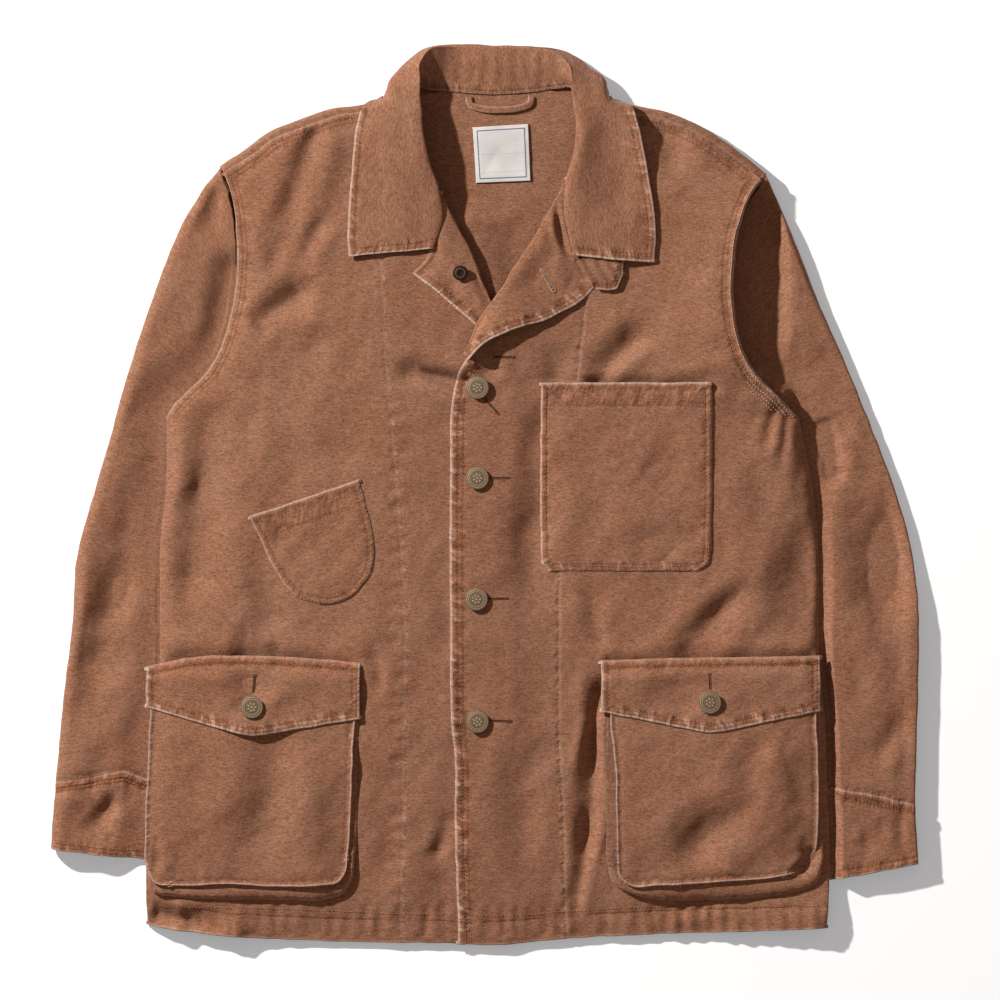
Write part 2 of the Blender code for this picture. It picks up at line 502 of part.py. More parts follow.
def tube_sections(flat_of, sewn_in, puff_of, along, left):
    """Rings of a flattened tube. flat_of gives the plan at shares across and along. The upper wall is pressed down from just outside the body's edge inwards. On the left it rises slowly from there."""
    rings = []
    fine = np.linspace(0, 1, 400)
    for v in along:
        plan = flat_of(fine, np.array([v]))[:, 0]
        gone = np.concatenate([[0], np.cumsum(np.linalg.norm(np.diff(plan, axis=0), axis=1))])
        whole = gone[-1]
        inside = depth_inside(plan, OUTLINE)
        # Where the ring goes under the body, or its inner end at the armhole.
        under = np.flatnonzero((inside > -5.5) & (gone > 20))
        edge = gone[under[0]] if len(under) else whole - 3
        edge = min(edge, whole - 3)
        puff = puff_of(v)
        top = [0, 1.2, 5.0, 13.0]
        crossing = list(np.linspace(13, max(edge - 16, 22), 3)[1:]) + [edge - 10, edge - 5, edge] + list(np.linspace(edge, whole - 2.2, 3)[1:])
        even = np.linspace(13, whole - 2.2, 8)[1:]
        top += list(even + (np.array(crossing) - even) * (smooth((v - 0.02) / 0.08) if sewn_in else 1))
        bottom = [whole, whole - 2.6] + list(np.linspace(whole - 2.6, 3.5, 5)[1:]) + [1.0]
        points = []
        for s, upper in [(s, True) for s in top] + [(s, False) for s in bottom]:
            x, y = (np.interp(s, gone, plan[:, k]) for k in (0, 1))
            outside = smooth(-np.interp(s, gone, inside) / 0.8)
            sewn = (tip_level(y - 3) if left else arm_level(y - 3)) * outside if sewn_in and v < 0.2 else 0.0
            low = FLOOR + SLEEVE_PRESSED - LAYER + (SHOULDER_RISE - 0.7 - (FLOOR + SLEEVE_PRESSED - LAYER)) * sewn
            if not left:
                low -= 0.12 * math.sin(9 * v) ** 2 + 0.04 * v
            away = smooth((-np.interp(s, gone, inside) - 4) / SLEEVE_SLOPE) if left else smooth((edge - s) / 14)
            roof = low + (puff - low) * away if s < edge else low
            outer, inner = min(s / 15, 1), min((whole - s) / 2.2, 1)
            middle = FLOOR + (roof - FLOOR) * (0.36 if s < whole / 2 else 0.5)
            if upper:
                round_off = math.sqrt(1 - (1 - outer) ** 2) * math.sqrt(1 - (1 - inner) ** 2)
                z = middle + (roof - middle) * round_off
            else:
                outer = min(s / 3.5, 1)
                round_off = math.sqrt(1 - (1 - outer) ** 2) * math.sqrt(1 - (1 - min((whole - s) / 2.6, 1)) ** 2)
                z = middle + (FLOOR - middle) * round_off
            points.append((x, y, z))
        rings.append(points + points[:1])
    return np.array(rings).transpose(1, 0, 2)


def sleeve(side, rows, cuff_rows, arm):
    """The tube from the armhole to the cuff's seam, and the cuff."""
    outer, inner = spline(rows, "outer_x outer_y"), spline(rows, "inner_x inner_y")
    t = np.linspace(0, 1, 200)
    armhole = arm(t)[::-1]
    cut = np.argmin(np.linalg.norm(armhole - inner(0.0), axis=1)) / 199
    way = 1 if side > 0 else -1

    def at_arm(s):
        s = np.asarray(s, float)
        return arm(1 - cut * s) + np.stack([way * (1.5 + 0.6 * (1 - s) ** 4), 0 * s], -1)

    def at_cuff(s):
        return np.stack([np.interp(s, cuff_rows["across"], cuff_rows[k]) for k in ("seam_x", "seam_y")], -1)

    def at_end(s):
        return np.stack([np.interp(s, cuff_rows["across"], cuff_rows[k]) for k in ("end_x", "end_y")], -1)

    name = "left" if side > 0 else "right"

    def whole(s, v):
        return patch_at(at_arm, lambda q: at_cuff(q) + [0, 0.4], starting(outer, at_arm(0.0)), starting(inner, at_arm(1.0)), s, v)

    along = np.array([0, 0.03, 0.06, 0.10, 0.14, 0.18, 0.25, 0.38, 0.54, 0.70, 0.85, 1])
    if side < 0:
        along = np.array([0, 0.03, 0.06, 0.10, 0.14, 0.18, 0.262, 0.395, 0.555, 0.71, 0.86, 1])
    sheet(f"sleeve_{name}", tube_sections(whole, True, lambda v: SLEEVE_PUFF - (SLEEVE_PUFF - CUFF_PUFF) * smooth((v - 0.7) / 0.3), along, side > 0), tube=True)

    def band(s, v):
        start, end = at_cuff(s) - [0, 0.3], at_end(s)
        return start[:, None] + (end - start)[:, None] * v[None, :, None]

    sheet(f"cuff_{name}", tube_sections(band, False, lambda v: CUFF_PUFF, np.linspace(0, 1, 3), side > 0), tube=True)


def patch_at(bottom, top, left, right, across, along):
    """As patch, for any shares."""
    u, v = np.asarray(across, float)[:, None, None], np.asarray(along, float)[None, :, None]
    ends = np.array([0.0, 1.0])
    b, t, l, r = bottom(across)[:, None], top(across)[:, None], left(along)[None], right(along)[None]
    bc, tc = bottom(ends), top(ends)
    corners = (1 - u) * (1 - v) * bc[0] + u * (1 - v) * bc[1] + (1 - u) * v * tc[0] + u * v * tc[1]
    return (1 - v) * b + v * t + (1 - u) * l + u * r - corners


def pocket_base(xy):
    """A smooth surface just over the front, which a cargo pocket's upper pieces follow: it doesn't dip at the body's side."""
    rise = np.interp(xy[..., 1], RISE["y"], RISE["z"])
    return rise - 2.2 * (1 - smooth(depth_inside(xy, FRONT_OUTLINE) / 16))


def face_height(xy):
    """Middle of a cargo pocket's face: low at its mouth, deep at the bottom."""
    return pocket_base(xy) + POCKET_LOW + (POCKET_DEEP - POCKET_LOW) * smooth((-170 - xy[..., 1]) / 110)


def cargo(side, rows, flap_rows):
    name = "left" if side > 0 else "right"
    height = face_height
    face, foot = spline(rows, "face_x face_y"), spline(rows, "foot_x foot_y")
    along = np.concatenate([np.linspace(0, 0.26, 5), np.linspace(0.31, 0.43, 4), np.linspace(0.5, 0.62, 3), np.linspace(0.66, 0.76, 4), np.linspace(0.82, 1, 4)])
    top_edge, low_edge = face(along), foot(along)
    centre = np.array([np.mean([top_edge[:, 0].min(), top_edge[:, 0].max()]), -240])
    # The foot lies on the front, and the wall leans in to the face's edge.
    net = []
    for share in (0, 0.5, 1):
        base = on(front_height, low_edge, LAYER + 0.3)
        rim = np.concatenate([top_edge, (height(top_edge) - 0.4)[:, None]], 1)
        net.append(base + (rim - base) * share)
    sheet(f"cargo_gusset_{name}", np.stack(net))
    # The face sits just inside the gusset's upper edge.
    a, b = (0.37, 0.70)
    down, up = part_of(face, 0, a), lambda t: face(1 - (1 - b) * np.asarray(t, float))
    floor_of = part_of(face, a, b)
    shrink = lambda c: (lambda t: c(t) + (centre - c(t)) / np.linalg.norm(centre - c(t), axis=-1, keepdims=True) * 1.2)
    left, right = (lambda t: shrink(down)(1 - np.asarray(t, float))), (lambda t: shrink(up)(1 - np.asarray(t, float)))
    flat = patch(shrink(floor_of), line(shrink(down)(0.0), shrink(up)(0.0)), left, right, np.linspace(0, 1, 9), np.linspace(0, 1, 8))
    if side > 0:
        flat = flat[::-1]
    sheet(f"cargo_pocket_{name}", on(height, flat, 1.0))
    # The flap: sewn on the front above the mouth, and over the face below.
    top, low = spline(flap_rows, "x top"), spline(flap_rows, "x bottom")
    ends = (line(low(0.0), top(0.0)), line(low(1.0), top(1.0)))
    flat = patch(low, top, *ends, np.linspace(0, 1, 11), np.linspace(0, 1, 6))
    drop = smooth((-146 - flat[..., 1]) / 18)
    z = (1 - drop) * (pocket_base(flat) + 1.9) + drop * (height(flat) + 1.0 + 2.2)
    sheet(f"cargo_flap_{name}", np.concatenate([flat, z[..., None]], -1))
    return lambda xy: height(xy) + 3.2


def patch_pockets():
    widths = CHEST
    levels = np.array([96, 84, 66, 30, -10, -50, -60, -68])
    rows = [np.interp(-levels, -widths["y"], widths[k]) for k in ("left", "right")]
    across = np.linspace(0, 1, 7)
    flat = np.stack([np.stack([rows[0] + (rows[1] - rows[0]) * u, levels + 0.0 * rows[0]], -1) for u in across])
    # Its outer top corner is over the slope up to the armhole, which the front crosses in long flat facets.
    extra = 2.2 * smooth((flat[..., 0] - 110) / 60) * smooth((flat[..., 1] - 30) / 45)
    points = on(over_height, flat, LAYER + 0.2)
    points[..., 2] += extra
    sheet("chest_pocket", points)
    down = np.array([0, 10, 20, 34, 50, 66, 78, 87, 93])
    rows = [np.interp(down, WATCH["down"], WATCH[k]) for k in ("left", "right")]
    c, s = math.cos(WATCH_TILT), math.sin(WATCH_TILT)
    flat = []
    for u in across:
        a = rows[0] + (rows[1] - rows[0]) * u
        flat.append(np.stack([WATCH_ORIGIN[0] + a * c + down * s, WATCH_ORIGIN[1] + a * s - down * c], -1))
    sheet("watch_pocket", on(front_height, np.stack(flat), LAYER + 0.2))


def neck_pieces():
    path = spline(LOOP)
    t = np.linspace(0, 1, 13)
    middle = path(t)
    way = path(np.minimum(t + 1e-3, 1)) - path(np.maximum(t - 1e-3, 0))
    way /= np.linalg.norm(way, axis=1, keepdims=True)
    across = np.stack([-way[:, 1], way[:, 0]], 1)
    sheet("hanger_loop", np.stack([on(back_height, middle + across * w, LAYER + 0.2) for w in (-2.5, 0, 2.5)]), wall=1.2)
    corners = np.stack([LABEL_CORNERS["x"], LABEL_CORNERS["y"]], 1)
    flat = patch(line(corners[0], corners[1]), line(corners[3], corners[2]), line(corners[0], corners[3]), line(corners[1], corners[2]), np.linspace(0, 1, 4), np.linspace(0, 1, 6))
    sheet("neck_label", on(back_height, flat, 2.2), LABEL, wall=1.0)
    t = np.linspace(0, 1, 6)
    low = np.stack([np.interp(t, TAB["along"], TAB[k]) for k in ("low_x", "low_y")], 1)
    high = np.stack([np.interp(t, TAB["along"], TAB[k]) for k in ("high_x", "high_y")], 1)
    flat = np.stack([low + (high - low) * w for w in (0, 0.35, 0.7, 1)], 1)
    sheet("throat_tab", on(front_height, flat, LAYER + 0.1))


def highest(height, x, y, reach):
    around = np.linspace(0, 2 * math.pi, 13)
    return height(np.stack([x + reach * np.cos(around), y + reach * np.sin(around)], -1)).max()


def buttons(flap_heights):
    cap = table("radius height", (0, 4.9), (5.5, 4.6), (8.6, 3.7), (BUTTON / 2, 2.2), (8.8, 0.9), (5.0, 0.0), (0, 0.0))
    plate = WALL / 2 + GAP
    for i, (x, y) in enumerate(zip(BUTTONS["x"], BUTTONS["y"]), 1):
        turned(f"button_{i}", cap, (x, y, highest(over_height, x, y, 9.9) + 0.8 + plate), BRASS)
    for name, x, y, height in zip(("right", "left"), FLAP_BUTTONS["x"], FLAP_BUTTONS["y"], flap_heights):
        turned(f"flap_button_{name}", cap, (x, y, height(np.array([x, y], float)) + plate + 0.4), BRASS)
    rivet = table("radius height", (0, 1.9), (3.2, 1.8), (4.0, 1.3), (6.2, 1.2), (6.6, 0.5), (6.2, 0.0), (0, 0.0))
    x, y = RIVET
    turned("lapel_rivet", rivet, (x, y, front_height(np.array([x, y], float)) + 3.9 + plate + 0.2), BRASS)


back_panel()
side_front("front_side_right", spline(SEAM_RIGHT), flank_right, forward_right, 0.372, 0.845, -1)
side_front("front_side_left", spline(SEAM_LEFT), flank_left, forward_left, 0.622, 0.90, 1)
centre_front("front_centre_right", spline(SEAM_RIGHT), spline(EDGE_UNDER), spline(NECK_RIGHT), (0.373, 0.517), front_height, -1)
centre_front("front_centre_left", spline(SEAM_LEFT), spline(EDGE_OVER), spline(NECK_LEFT), (0.458, 0.6215), over_height, 1)
lapel("facing_right", spline(LAPEL_RIGHT_ROLL), spline(LAPEL_RIGHT_EDGE), spline(LAPEL_RIGHT_TOP), front_height, 2.1)
lapel("facing_left", spline(LAPEL_LEFT_ROLL), spline(LAPEL_LEFT_EDGE), spline(LAPEL_LEFT_TOP), over_height, 2.1)
collar()
sleeve(-1, SLEEVE_RIGHT, CUFF_RIGHT, arm_right)
sleeve(1, SLEEVE_LEFT, CUFF_LEFT, arm_left)
flap_right = cargo(-1, GUSSET_RIGHT, FLAP_RIGHT)
flap_left = cargo(1, GUSSET_LEFT, FLAP_LEFT)
patch_pockets()
neck_pieces()
buttons((flap_right, flap_left))
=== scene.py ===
"""Looks of the washed canvas chore jacket, in the CAD's frame.

Each cut piece is a fine shell laid out as its solid is, from the same sizes, with its creases, rolled edges, rows of
stitches and buttonholes. Sizes in the tables are in millimetres. Points named P(...) are in the flat view's grid of
1000 x 1000, where a step is 0.88 mm.
"""

import math

import bpy
import numpy as np
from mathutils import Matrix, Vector
from mathutils.bvhtree import BVHTree


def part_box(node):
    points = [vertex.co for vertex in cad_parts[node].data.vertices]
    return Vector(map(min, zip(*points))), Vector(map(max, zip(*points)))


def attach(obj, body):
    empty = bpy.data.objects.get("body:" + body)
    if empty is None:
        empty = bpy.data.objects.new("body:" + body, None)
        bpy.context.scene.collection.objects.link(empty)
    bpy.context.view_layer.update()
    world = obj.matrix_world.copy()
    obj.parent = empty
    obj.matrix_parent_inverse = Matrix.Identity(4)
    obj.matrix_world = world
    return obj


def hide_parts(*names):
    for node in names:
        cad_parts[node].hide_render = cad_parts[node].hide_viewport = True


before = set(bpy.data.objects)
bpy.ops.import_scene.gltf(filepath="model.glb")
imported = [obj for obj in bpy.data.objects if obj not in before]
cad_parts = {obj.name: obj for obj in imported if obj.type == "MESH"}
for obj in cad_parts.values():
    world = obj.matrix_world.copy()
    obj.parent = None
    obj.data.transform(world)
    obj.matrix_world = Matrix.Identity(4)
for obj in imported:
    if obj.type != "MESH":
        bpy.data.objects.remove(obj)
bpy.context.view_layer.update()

MM = 0.001
WALL = 1.2  # canvas
GAP = 0.3  # between pieces that meet
LAYER = WALL + GAP  # from the middle of one wall to the middle of the next
FLOOR = WALL / 2  # middle of a wall that lies on the surface
SLEEVE_PRESSED = 4.8  # room that a sleeve takes under the body
SLEEVE_PUFF = 12.0  # middle of a sleeve's upper wall where nothing lies on it
CUFF_PUFF = 9.5
SHOULDER_RISE = 12.5  # middle of the front at the shoulder seam and the upper armhole
SHOULDER_FORWARD = 8.0  # the back comes this far over the shoulder
BREAK_RISE = 3.8  # the upper front over the turned-back edge of the other
OVERLAP = 20.0  # the upper front is a layer higher up to here
SLEEVE_SLOPE = 42.0  # the left sleeve rises this far out from the body's edge
POCKET_LOW, POCKET_DEEP = 3.2, 9.0  # a cargo pocket's rise at its mouth and at its bottom
BUTTON = 19.8  # diameter
CANVAS, BRASS, LABEL = "canvas", "antique_brass", "label"


def table(columns, *rows):
    """Rows of sizes under named columns."""
    found = np.array(rows, float)
    return {name: found[:, i] for i, name in enumerate(columns.split())}


# Side seams, from hem to underarm.
SIDE_RIGHT = table("x y", (-296, -379), (-297, -343), (-294, -270), (-289, -190), (-285, -143), (-285, -94), (-284, -34), (-280, 0), (-279, 41), (-279, 66))
SIDE_LEFT = table("x y", (300, -381), (303, -323), (301, -260), (299, -202), (294, -143), (294, -62), (290, -6), (283, 35), (276, 66))
# Armholes, from underarm to shoulder tip.
ARMHOLE_RIGHT = table("x y", (-279, 66), (-273, 77), (-258, 92), (-244, 106), (-233, 125), (-224, 153), (-219, 181), (-217, 209), (-219, 238), (-226, 271), (-233, 287))
ARMHOLE_LEFT = table("x y", (276, 66), (257, 86), (238, 103), (229, 117), (221, 139), (217, 167), (217, 195), (220, 221), (226, 243), (235, 263), (248, 280))
# Outline of the shoulders, from tip to neck.
SHOULDER_RIGHT = table("x y", (-233, 287), (-207, 304), (-188, 318), (-165, 327), (-146, 334), (-129, 339), (-103, 343), (-76, 349))
SHOULDER_LEFT = table("x y", (248, 280), (227, 297), (205, 313), (182, 326), (160, 335), (134, 341), (115, 345), (96, 350))
HEM = table("x y", (-296, -379), (-230, -388), (-146, -393), (-73, -395), (-22, -396), (14, -396), (73, -391), (154, -387), (238, -384), (300, -381))
# Lengthwise seams between the side and centre parts, from hem to shoulder.
SEAM_RIGHT = table("x y", (-73, -395), (-73, -365), (-72, -287), (-71, -202), (-70, -119), (-74, -34), (-79, 27), (-86, 111), (-91, 204), (-95, 270), (-99, 335.5))
SEAM_LEFT = table("x y", (73, -391), (71, -343), (70, -287), (67, -231), (66, -146), (67, -68), (74, 20), (82, 103), (89, 162), (95, 220), (101, 280), (111, 337.5))
# Edge of the right front, under the other: up to the break, along the roll of the lapel, then the neck seam.
EDGE_UNDER = table("x y", (14, -394), (14, -200), (14, 0), (14, 110), (11, 145), (5, 164), (-9, 200), (-20, 223), (-31.5, 245))
NECK_RIGHT = table("x y", (-31.5, 245), (-43, 254), (-58, 264), (-72, 280), (-79, 302), (-80, 322), (-77, 341))
# Edge of the left front, which shows.
EDGE_OVER = table("x y", (-22, -396), (-25, -287), (-25, -235), (-28, -202), (-29, -125), (-29, 21), (-27, 82), (-22, 104), (-13.6, 120.7), (-4.3, 147), (12.4, 171), (28.5, 197), (44.5, 221), (57, 245))
NECK_LEFT = table("x y", (57, 245), (71, 252), (84, 262), (94, 280), (99, 302), (100, 322), (97, 341.5))
# Lapels: the roll from break to gorge, the free edge from break to tip, and the gorge from roll to tip.
LAPEL_RIGHT_ROLL = table("x y", (9, 156), (7, 165), (2, 178), (-7, 201), (-18, 224), (-26, 239), (-31, 249), (-38, 264))
LAPEL_RIGHT_EDGE = table("x y", (0, 141), (-7, 147), (-14, 153), (-29, 166), (-44, 178), (-62, 192))
LAPEL_RIGHT_TOP = table("x y", (-38, 264), (-46, 249), (-48, 232), (-46, 212), (-62, 192))
LAPEL_LEFT_ROLL = table("x y", (-17, 121), (-12, 136), (-7, 148), (2, 162), (10, 172), (26, 198), (42, 222), (52, 240), (61, 256), (72, 276))
LAPEL_LEFT_EDGE = table("x y", (-15, 116), (-8, 124), (2, 132), (18, 140), (34, 146), (50, 150), (66, 158), (88, 172), (95, 180))
LAPEL_LEFT_TOP = table("x y", (72, 276), (78, 258), (80, 236), (81, 212), (95, 180))

# Sleeves, a row for each section: the outer fold, then the inner fold that is under the body.
SLEEVE_RIGHT = table(
    "outer_x outer_y inner_x inner_y",
    (-233, 287, -219, 179), (-248, 267, -205, 139), (-269, 229, -190, 91), (-293, 167, -176, 44), (-314, 103, -170, -10), (-331, 41, -172, -60),
    (-345, -6, -178, -105), (-358, -56, -187, -147), (-362, -113, -199, -186), (-370, -180, -216, -223), (-377, -254, -236, -263),
)
SLEEVE_LEFT = table(
    "outer_x outer_y inner_x inner_y",
    (248, 280, 217, 179), (258, 258, 204, 139), (271, 226, 190, 91), (294, 167, 176, 44), (316, 117, 170, -4), (339, 61, 172, -54),
    (361, 2, 178, -102), (375, -48, 187, -145), (381, -99, 199, -184), (381, -165, 216, -222), (378, -274, 240, -264),
)
# Cuffs: how far the seam and the end run from outer to inner fold, and the seam's peak.
CUFF_RIGHT = table("across seam_x seam_y end_x end_y", (0, -377, -254, -381, -312), (0.42, -317, -244, -324, -319), (0.6, -294, -253, -301, -321), (1, -236, -263, -244, -328))
CUFF_LEFT = table("across seam_x seam_y end_x end_y", (0, 378, -274, 381, -325), (0.2, 351, -267, 354, -330), (0.5, 307, -259, 307, -339), (1, 240, -264, 243, -350))

# Height of the middle of the front between the side rolls, from hem to neck.
RISE = table("y z", (-400, 7.0), (-370, 8.0), (-330, 10.5), (-280, 13.0), (-200, 16.0), (-100, 17.5), (0, 18.0), (250, 18.0), (300, 17.0), (350, 15.0))

# How far the left front stands proud of its armhole, where the sleeve's cap is folded under it, and how far the fronts' hems lift off.
PROUD = table("y z", (66, 0), (82, 4.5), (105, 8.5), (135, 10.5), (170, 11), (215, 11), (240, 9.5), (262, 5.5), (282, 0))
HEM_LIFT = table("x z", (-296, 1.5), (-262, 4), (-225, 4), (-180, 0.5), (0, 0), (120, 0.5), (200, 2.5), (260, 5), (300, 6))

# Collar, a row for each section from its right end round the neck: seam, fold, leaf and edge of the leaf. turn is 1 where the leaf lies over the stand, -1 where it is behind.
COLLAR = table(
    "seam_x seam_y seam_z fold_x fold_y fold_z leaf_x leaf_y leaf_z edge_x edge_y edge_z turn",
    (-54, 217, 19.2, -44, 213.4, 20.8, -80, 210.4, 22.4, -118, 206.6, 22.0, 0.6),
    (-62, 238, 18.4, -36, 238, 19.8, -76, 236, 23.6, -119, 233, 20.4, 1),
    (-72, 265, 18.8, -39, 264, 20.6, -79, 263, 24.4, -117, 262, 20.4, 1),
    (-77, 296, 19.8, -49, 294, 25.4, -82, 296, 25.6, -114, 301, 20.0, 1),
    (-76, 322, 18.4, -54, 324, 25.2, -84, 326, 24.8, -110, 328, 18.4, 1),
    (-73, 334, 17.0, -55, 337, 24.6, -83, 338, 22.8, -106.5, 338, 16.6, 0.85),
    (-69, 341, 15.0, -56, 346, 23.4, -81, 346, 20.5, -99.5, 344.5, 9.5, 0.55),
    (-65, 347, 12.0, -56, 354, 23.2, -84, 355, 16.5, -92, 347.5, 3.0, 0.35),
    (-61, 352, 9.0, -56, 362, 24.4, -83, 362, 12.5, -92, 343, 0.6, 0.15),
    (-56, 356, 5.5, -57, 374, 24.0, -73, 374, 9.0, -88, 328, 0.6, -0.4),
    (-49, 355, 4.4, -50, 387, 19.5, -56, 389, 6.0, -66, 319, 0.6, -0.9),
    (-26, 353, 4.4, -27, 393, 6.6, -28, 394.5, 3.0, -32, 317, 0.6, -1),
    (10, 351, 4.4, 10, 392, 6.6, 10, 393.5, 3.0, 10, 316, 0.6, -1),
    (41, 353, 4.4, 42, 391, 6.6, 43, 392.5, 3.0, 50, 317, 0.6, -1),
    (67, 356, 4.4, 67, 384, 10.0, 73, 387, 4.4, 84, 319, 0.6, -0.9),
    (74, 357, 5.5, 75, 373, 17.0, 92, 374, 7.5, 104, 328, 0.6, -0.4),
    (80, 352, 9.0, 76, 362, 20.5, 106, 362, 11.5, 114, 343, 0.6, 0.15),
    (85, 347, 12.0, 76, 354, 21.8, 106, 355, 16.5, 113.5, 347.5, 3.0, 0.35),
    (89, 341, 15.0, 77, 346, 22.6, 106, 347, 20.5, 121, 343.5, 9.5, 0.55),
    (93, 334, 17.0, 78, 337, 23.4, 106, 338, 23.6, 129, 338, 20.0, 0.85),
    (97, 322, 18.4, 80, 325, 23.8, 107, 328, 24.8, 132, 328, 25.0, 1),
    (99, 296, 19.8, 78, 300, 24.6, 108, 300, 25.6, 138, 301, 25.6, 1),
    (95, 268, 20.2, 71, 272, 24.4, 108, 270, 25.2, 144, 269, 24.6, 1),
    (90, 242, 20.2, 70, 242, 24.0, 110, 238, 26.4, 149, 233, 23.6, 1),
    (88, 213, 21.2, 78, 208, 24.2, 114, 204, 26.6, 148, 202, 23.8, 0.6),
)

# Cargo pockets, a row for each place along the gusset from the outer top round the bottom to the inner top: the edge of the face, and the seam on the front.
GUSSET_RIGHT = table(
    "face_x face_y foot_x foot_y",
    (-291, -166, -287, -166), (-292, -200, -288, -200), (-294, -250, -290, -250), (-296, -300, -293, -300), (-295, -328, -294, -335), (-288, -341, -290, -350),
    (-270, -343, -272, -354), (-230, -342, -230, -356), (-172, -344, -172, -357), (-140, -342.5, -138, -356.5), (-128.5, -340.5, -125, -352.5), (-122.5, -333.5, -117, -342), (-119.5, -315, -113.5, -322),
    (-117.5, -285, -112, -285), (-116, -240, -111.5, -240), (-114, -200, -110.5, -200), (-113.5, -166, -110, -166),
)
GUSSET_LEFT = table(
    "face_x face_y foot_x foot_y",
    (289, -166, 290, -166), (290, -200, 294, -200), (292, -245, 295.5, -245), (291.5, -290, 296.5, -292), (289.5, -314, 297, -323), (281.5, -328.5, 291, -342),
    (266, -334, 270, -350.5), (250, -336.5, 252, -353.5), (195, -340.5, 197, -357), (150, -343, 148, -356), (128, -343, 126, -350.5), (119.5, -337, 112.5, -342), (117, -320, 108, -325), (116, -285, 106.5, -285),
    (115, -240, 106, -240), (111, -200, 107, -200), (111, -166, 107, -166),
)
FLAP_RIGHT = table("x top bottom", (-295, -152, -187), (-252, -144, -200), (-203, -143, -212), (-157, -145, -205), (-110, -149, -197))
FLAP_LEFT = table("x top bottom", (103, -147, -191), (150, -145.5, -200), (198, -144.5, -209), (245, -144, -200), (293, -143, -190))
# Patch pockets: width of each section.
CHEST = table("y left right", (96, 50, 198), (73, 49.5, 199), (0, 49, 199), (-50, 49.5, 198), (-62, 50.5, 196), (-68, 58, 187))
# The watch pocket in its own tilted frame: down is the way from its top edge, left and right run along it.
WATCH_ORIGIN, WATCH_TILT = (-157.5, -5), math.radians(18.6)
WATCH = table("down left right", (0, -50, 50), (20, -48, 49), (45, -45, 47), (66, -40, 42), (82, -31, 33), (93, -17, 19))
LOOP = table("x y", (-14, 348.5), (-13, 342.5), (-4, 338), (14, 336.5), (30, 338), (40, 342.5), (41.5, 349))
LABEL_CORNERS = table("x y", (-7, 273), (40, 275), (38, 324), (-10, 321))
TAB = table("along low_x low_y high_x high_y", (0, 97, 178.5, 80, 202), (0.5, 108, 177.5, 100, 212), (0.85, 116, 179, 114, 212), (1, 121, 188, 121, 212))
BUTTONS = table("x y", (-6, 92), (-6, 13), (-7, -93), (-6, -200))
FLAP_BUTTONS = table("x y", (-203, -187), (197, -183))
RIVET = (-21, 192)


def smooth(t):
    t = np.clip(t, 0, 1)
    return t * t * (3 - 2 * t)


def spline(rows, names="x y"):
    """A smooth curve through a table's rows, as a function of the share of its length."""
    points = np.stack([rows[name] for name in names.split()], 1)
    step = np.maximum(np.linalg.norm(np.diff(points, axis=0), axis=1), 1e-6)
    at = np.concatenate([[0], np.cumsum(step)])
    slope = np.diff(points, axis=0) / step[:, None]
    middle = (slope[:-1] * step[1:, None] + slope[1:] * step[:-1, None]) / (step[:-1] + step[1:])[:, None]
    tangent = np.concatenate([slope[:1], middle, slope[-1:]])

    def place(t):
        s = np.asarray(t, float) * at[-1]
        i = np.clip(np.searchsorted(at, s, "right") - 1, 0, len(step) - 1)
        h = step[i][..., None]
        w = ((s - at[i]) / step[i])[..., None]
        return (
            (2 * w**3 - 3 * w**2 + 1) * points[i] + (w**3 - 2 * w**2 + w) * h * tangent[i]
            + (3 * w**2 - 2 * w**3) * points[i + 1] + (w**3 - w**2) * h * tangent[i + 1]
        )

    return place


def chain(*curves):
    """Curves end to end, each with its share of the whole in proportion to its length."""
    length = [np.linalg.norm(np.diff(c(np.linspace(0, 1, 60)), axis=0), axis=1).sum() for c in curves]
    ends = np.concatenate([[0], np.cumsum(length)]) / sum(length)

    def place(t):
        t = np.asarray(t, float)
        found = curves[0](np.clip(t / ends[1], 0, 1))
        for i, c in enumerate(curves[1:], 1):
            part = np.clip((t - ends[i]) / (ends[i + 1] - ends[i]), 0, 1)
            found = np.where((t > ends[i])[..., None], c(part), found)
        return found

    return place


def part_of(c, first, last):
    return lambda t: c(first + (last - first) * np.asarray(t, float))


def moved(c, x=0.0, y=0.0):
    return lambda t: c(t) + np.array([x, y])


def inward(c, by):
    """The curve moved by that much to its right, seen along it."""

    def place(t):
        t = np.asarray(t, float)
        way = c(np.minimum(t + 1e-3, 1)) - c(np.maximum(t - 1e-3, 0))
        way /= np.linalg.norm(way, axis=-1, keepdims=True)
        return c(t) + by * np.stack([way[..., 1], -way[..., 0]], -1)

    return place


def patch(bottom, top, left, right, across, along):
    """Points between four curves, at the shares across and along. Left and right run from bottom to top."""
    u, v = np.meshgrid(across, along, indexing="ij")
    u, v = u[..., None], v[..., None]
    b, t, l, r = bottom(across)[:, None], top(across)[:, None], left(along)[None], right(along)[None]
    corners = (1 - u) * (1 - v) * b[0, 0] + u * (1 - v) * b[-1, 0] + (1 - u) * v * t[0, 0] + u * v * t[-1, 0]
    return (1 - v) * b + v * t + (1 - u) * l + u * r - corners


def ending(c, at, share=0.12):
    """The curve with its end brought to a point, over its last share."""
    shift = np.array(at, float) - c(1.0)
    return lambda t: c(t) + smooth((np.asarray(t, float) - 1 + share) / share)[..., None] * shift


def starting(c, at, share=0.12):
    """The curve with its start brought to a point, over its first share."""
    shift = np.array(at, float) - c(0.0)
    return lambda t: c(t) + smooth((share - np.asarray(t, float)) / share)[..., None] * shift


def line(a, b):
    a, b = np.array(a, float), np.array(b, float)
    return lambda t: a + (b - a) * np.asarray(t, float)[..., None]


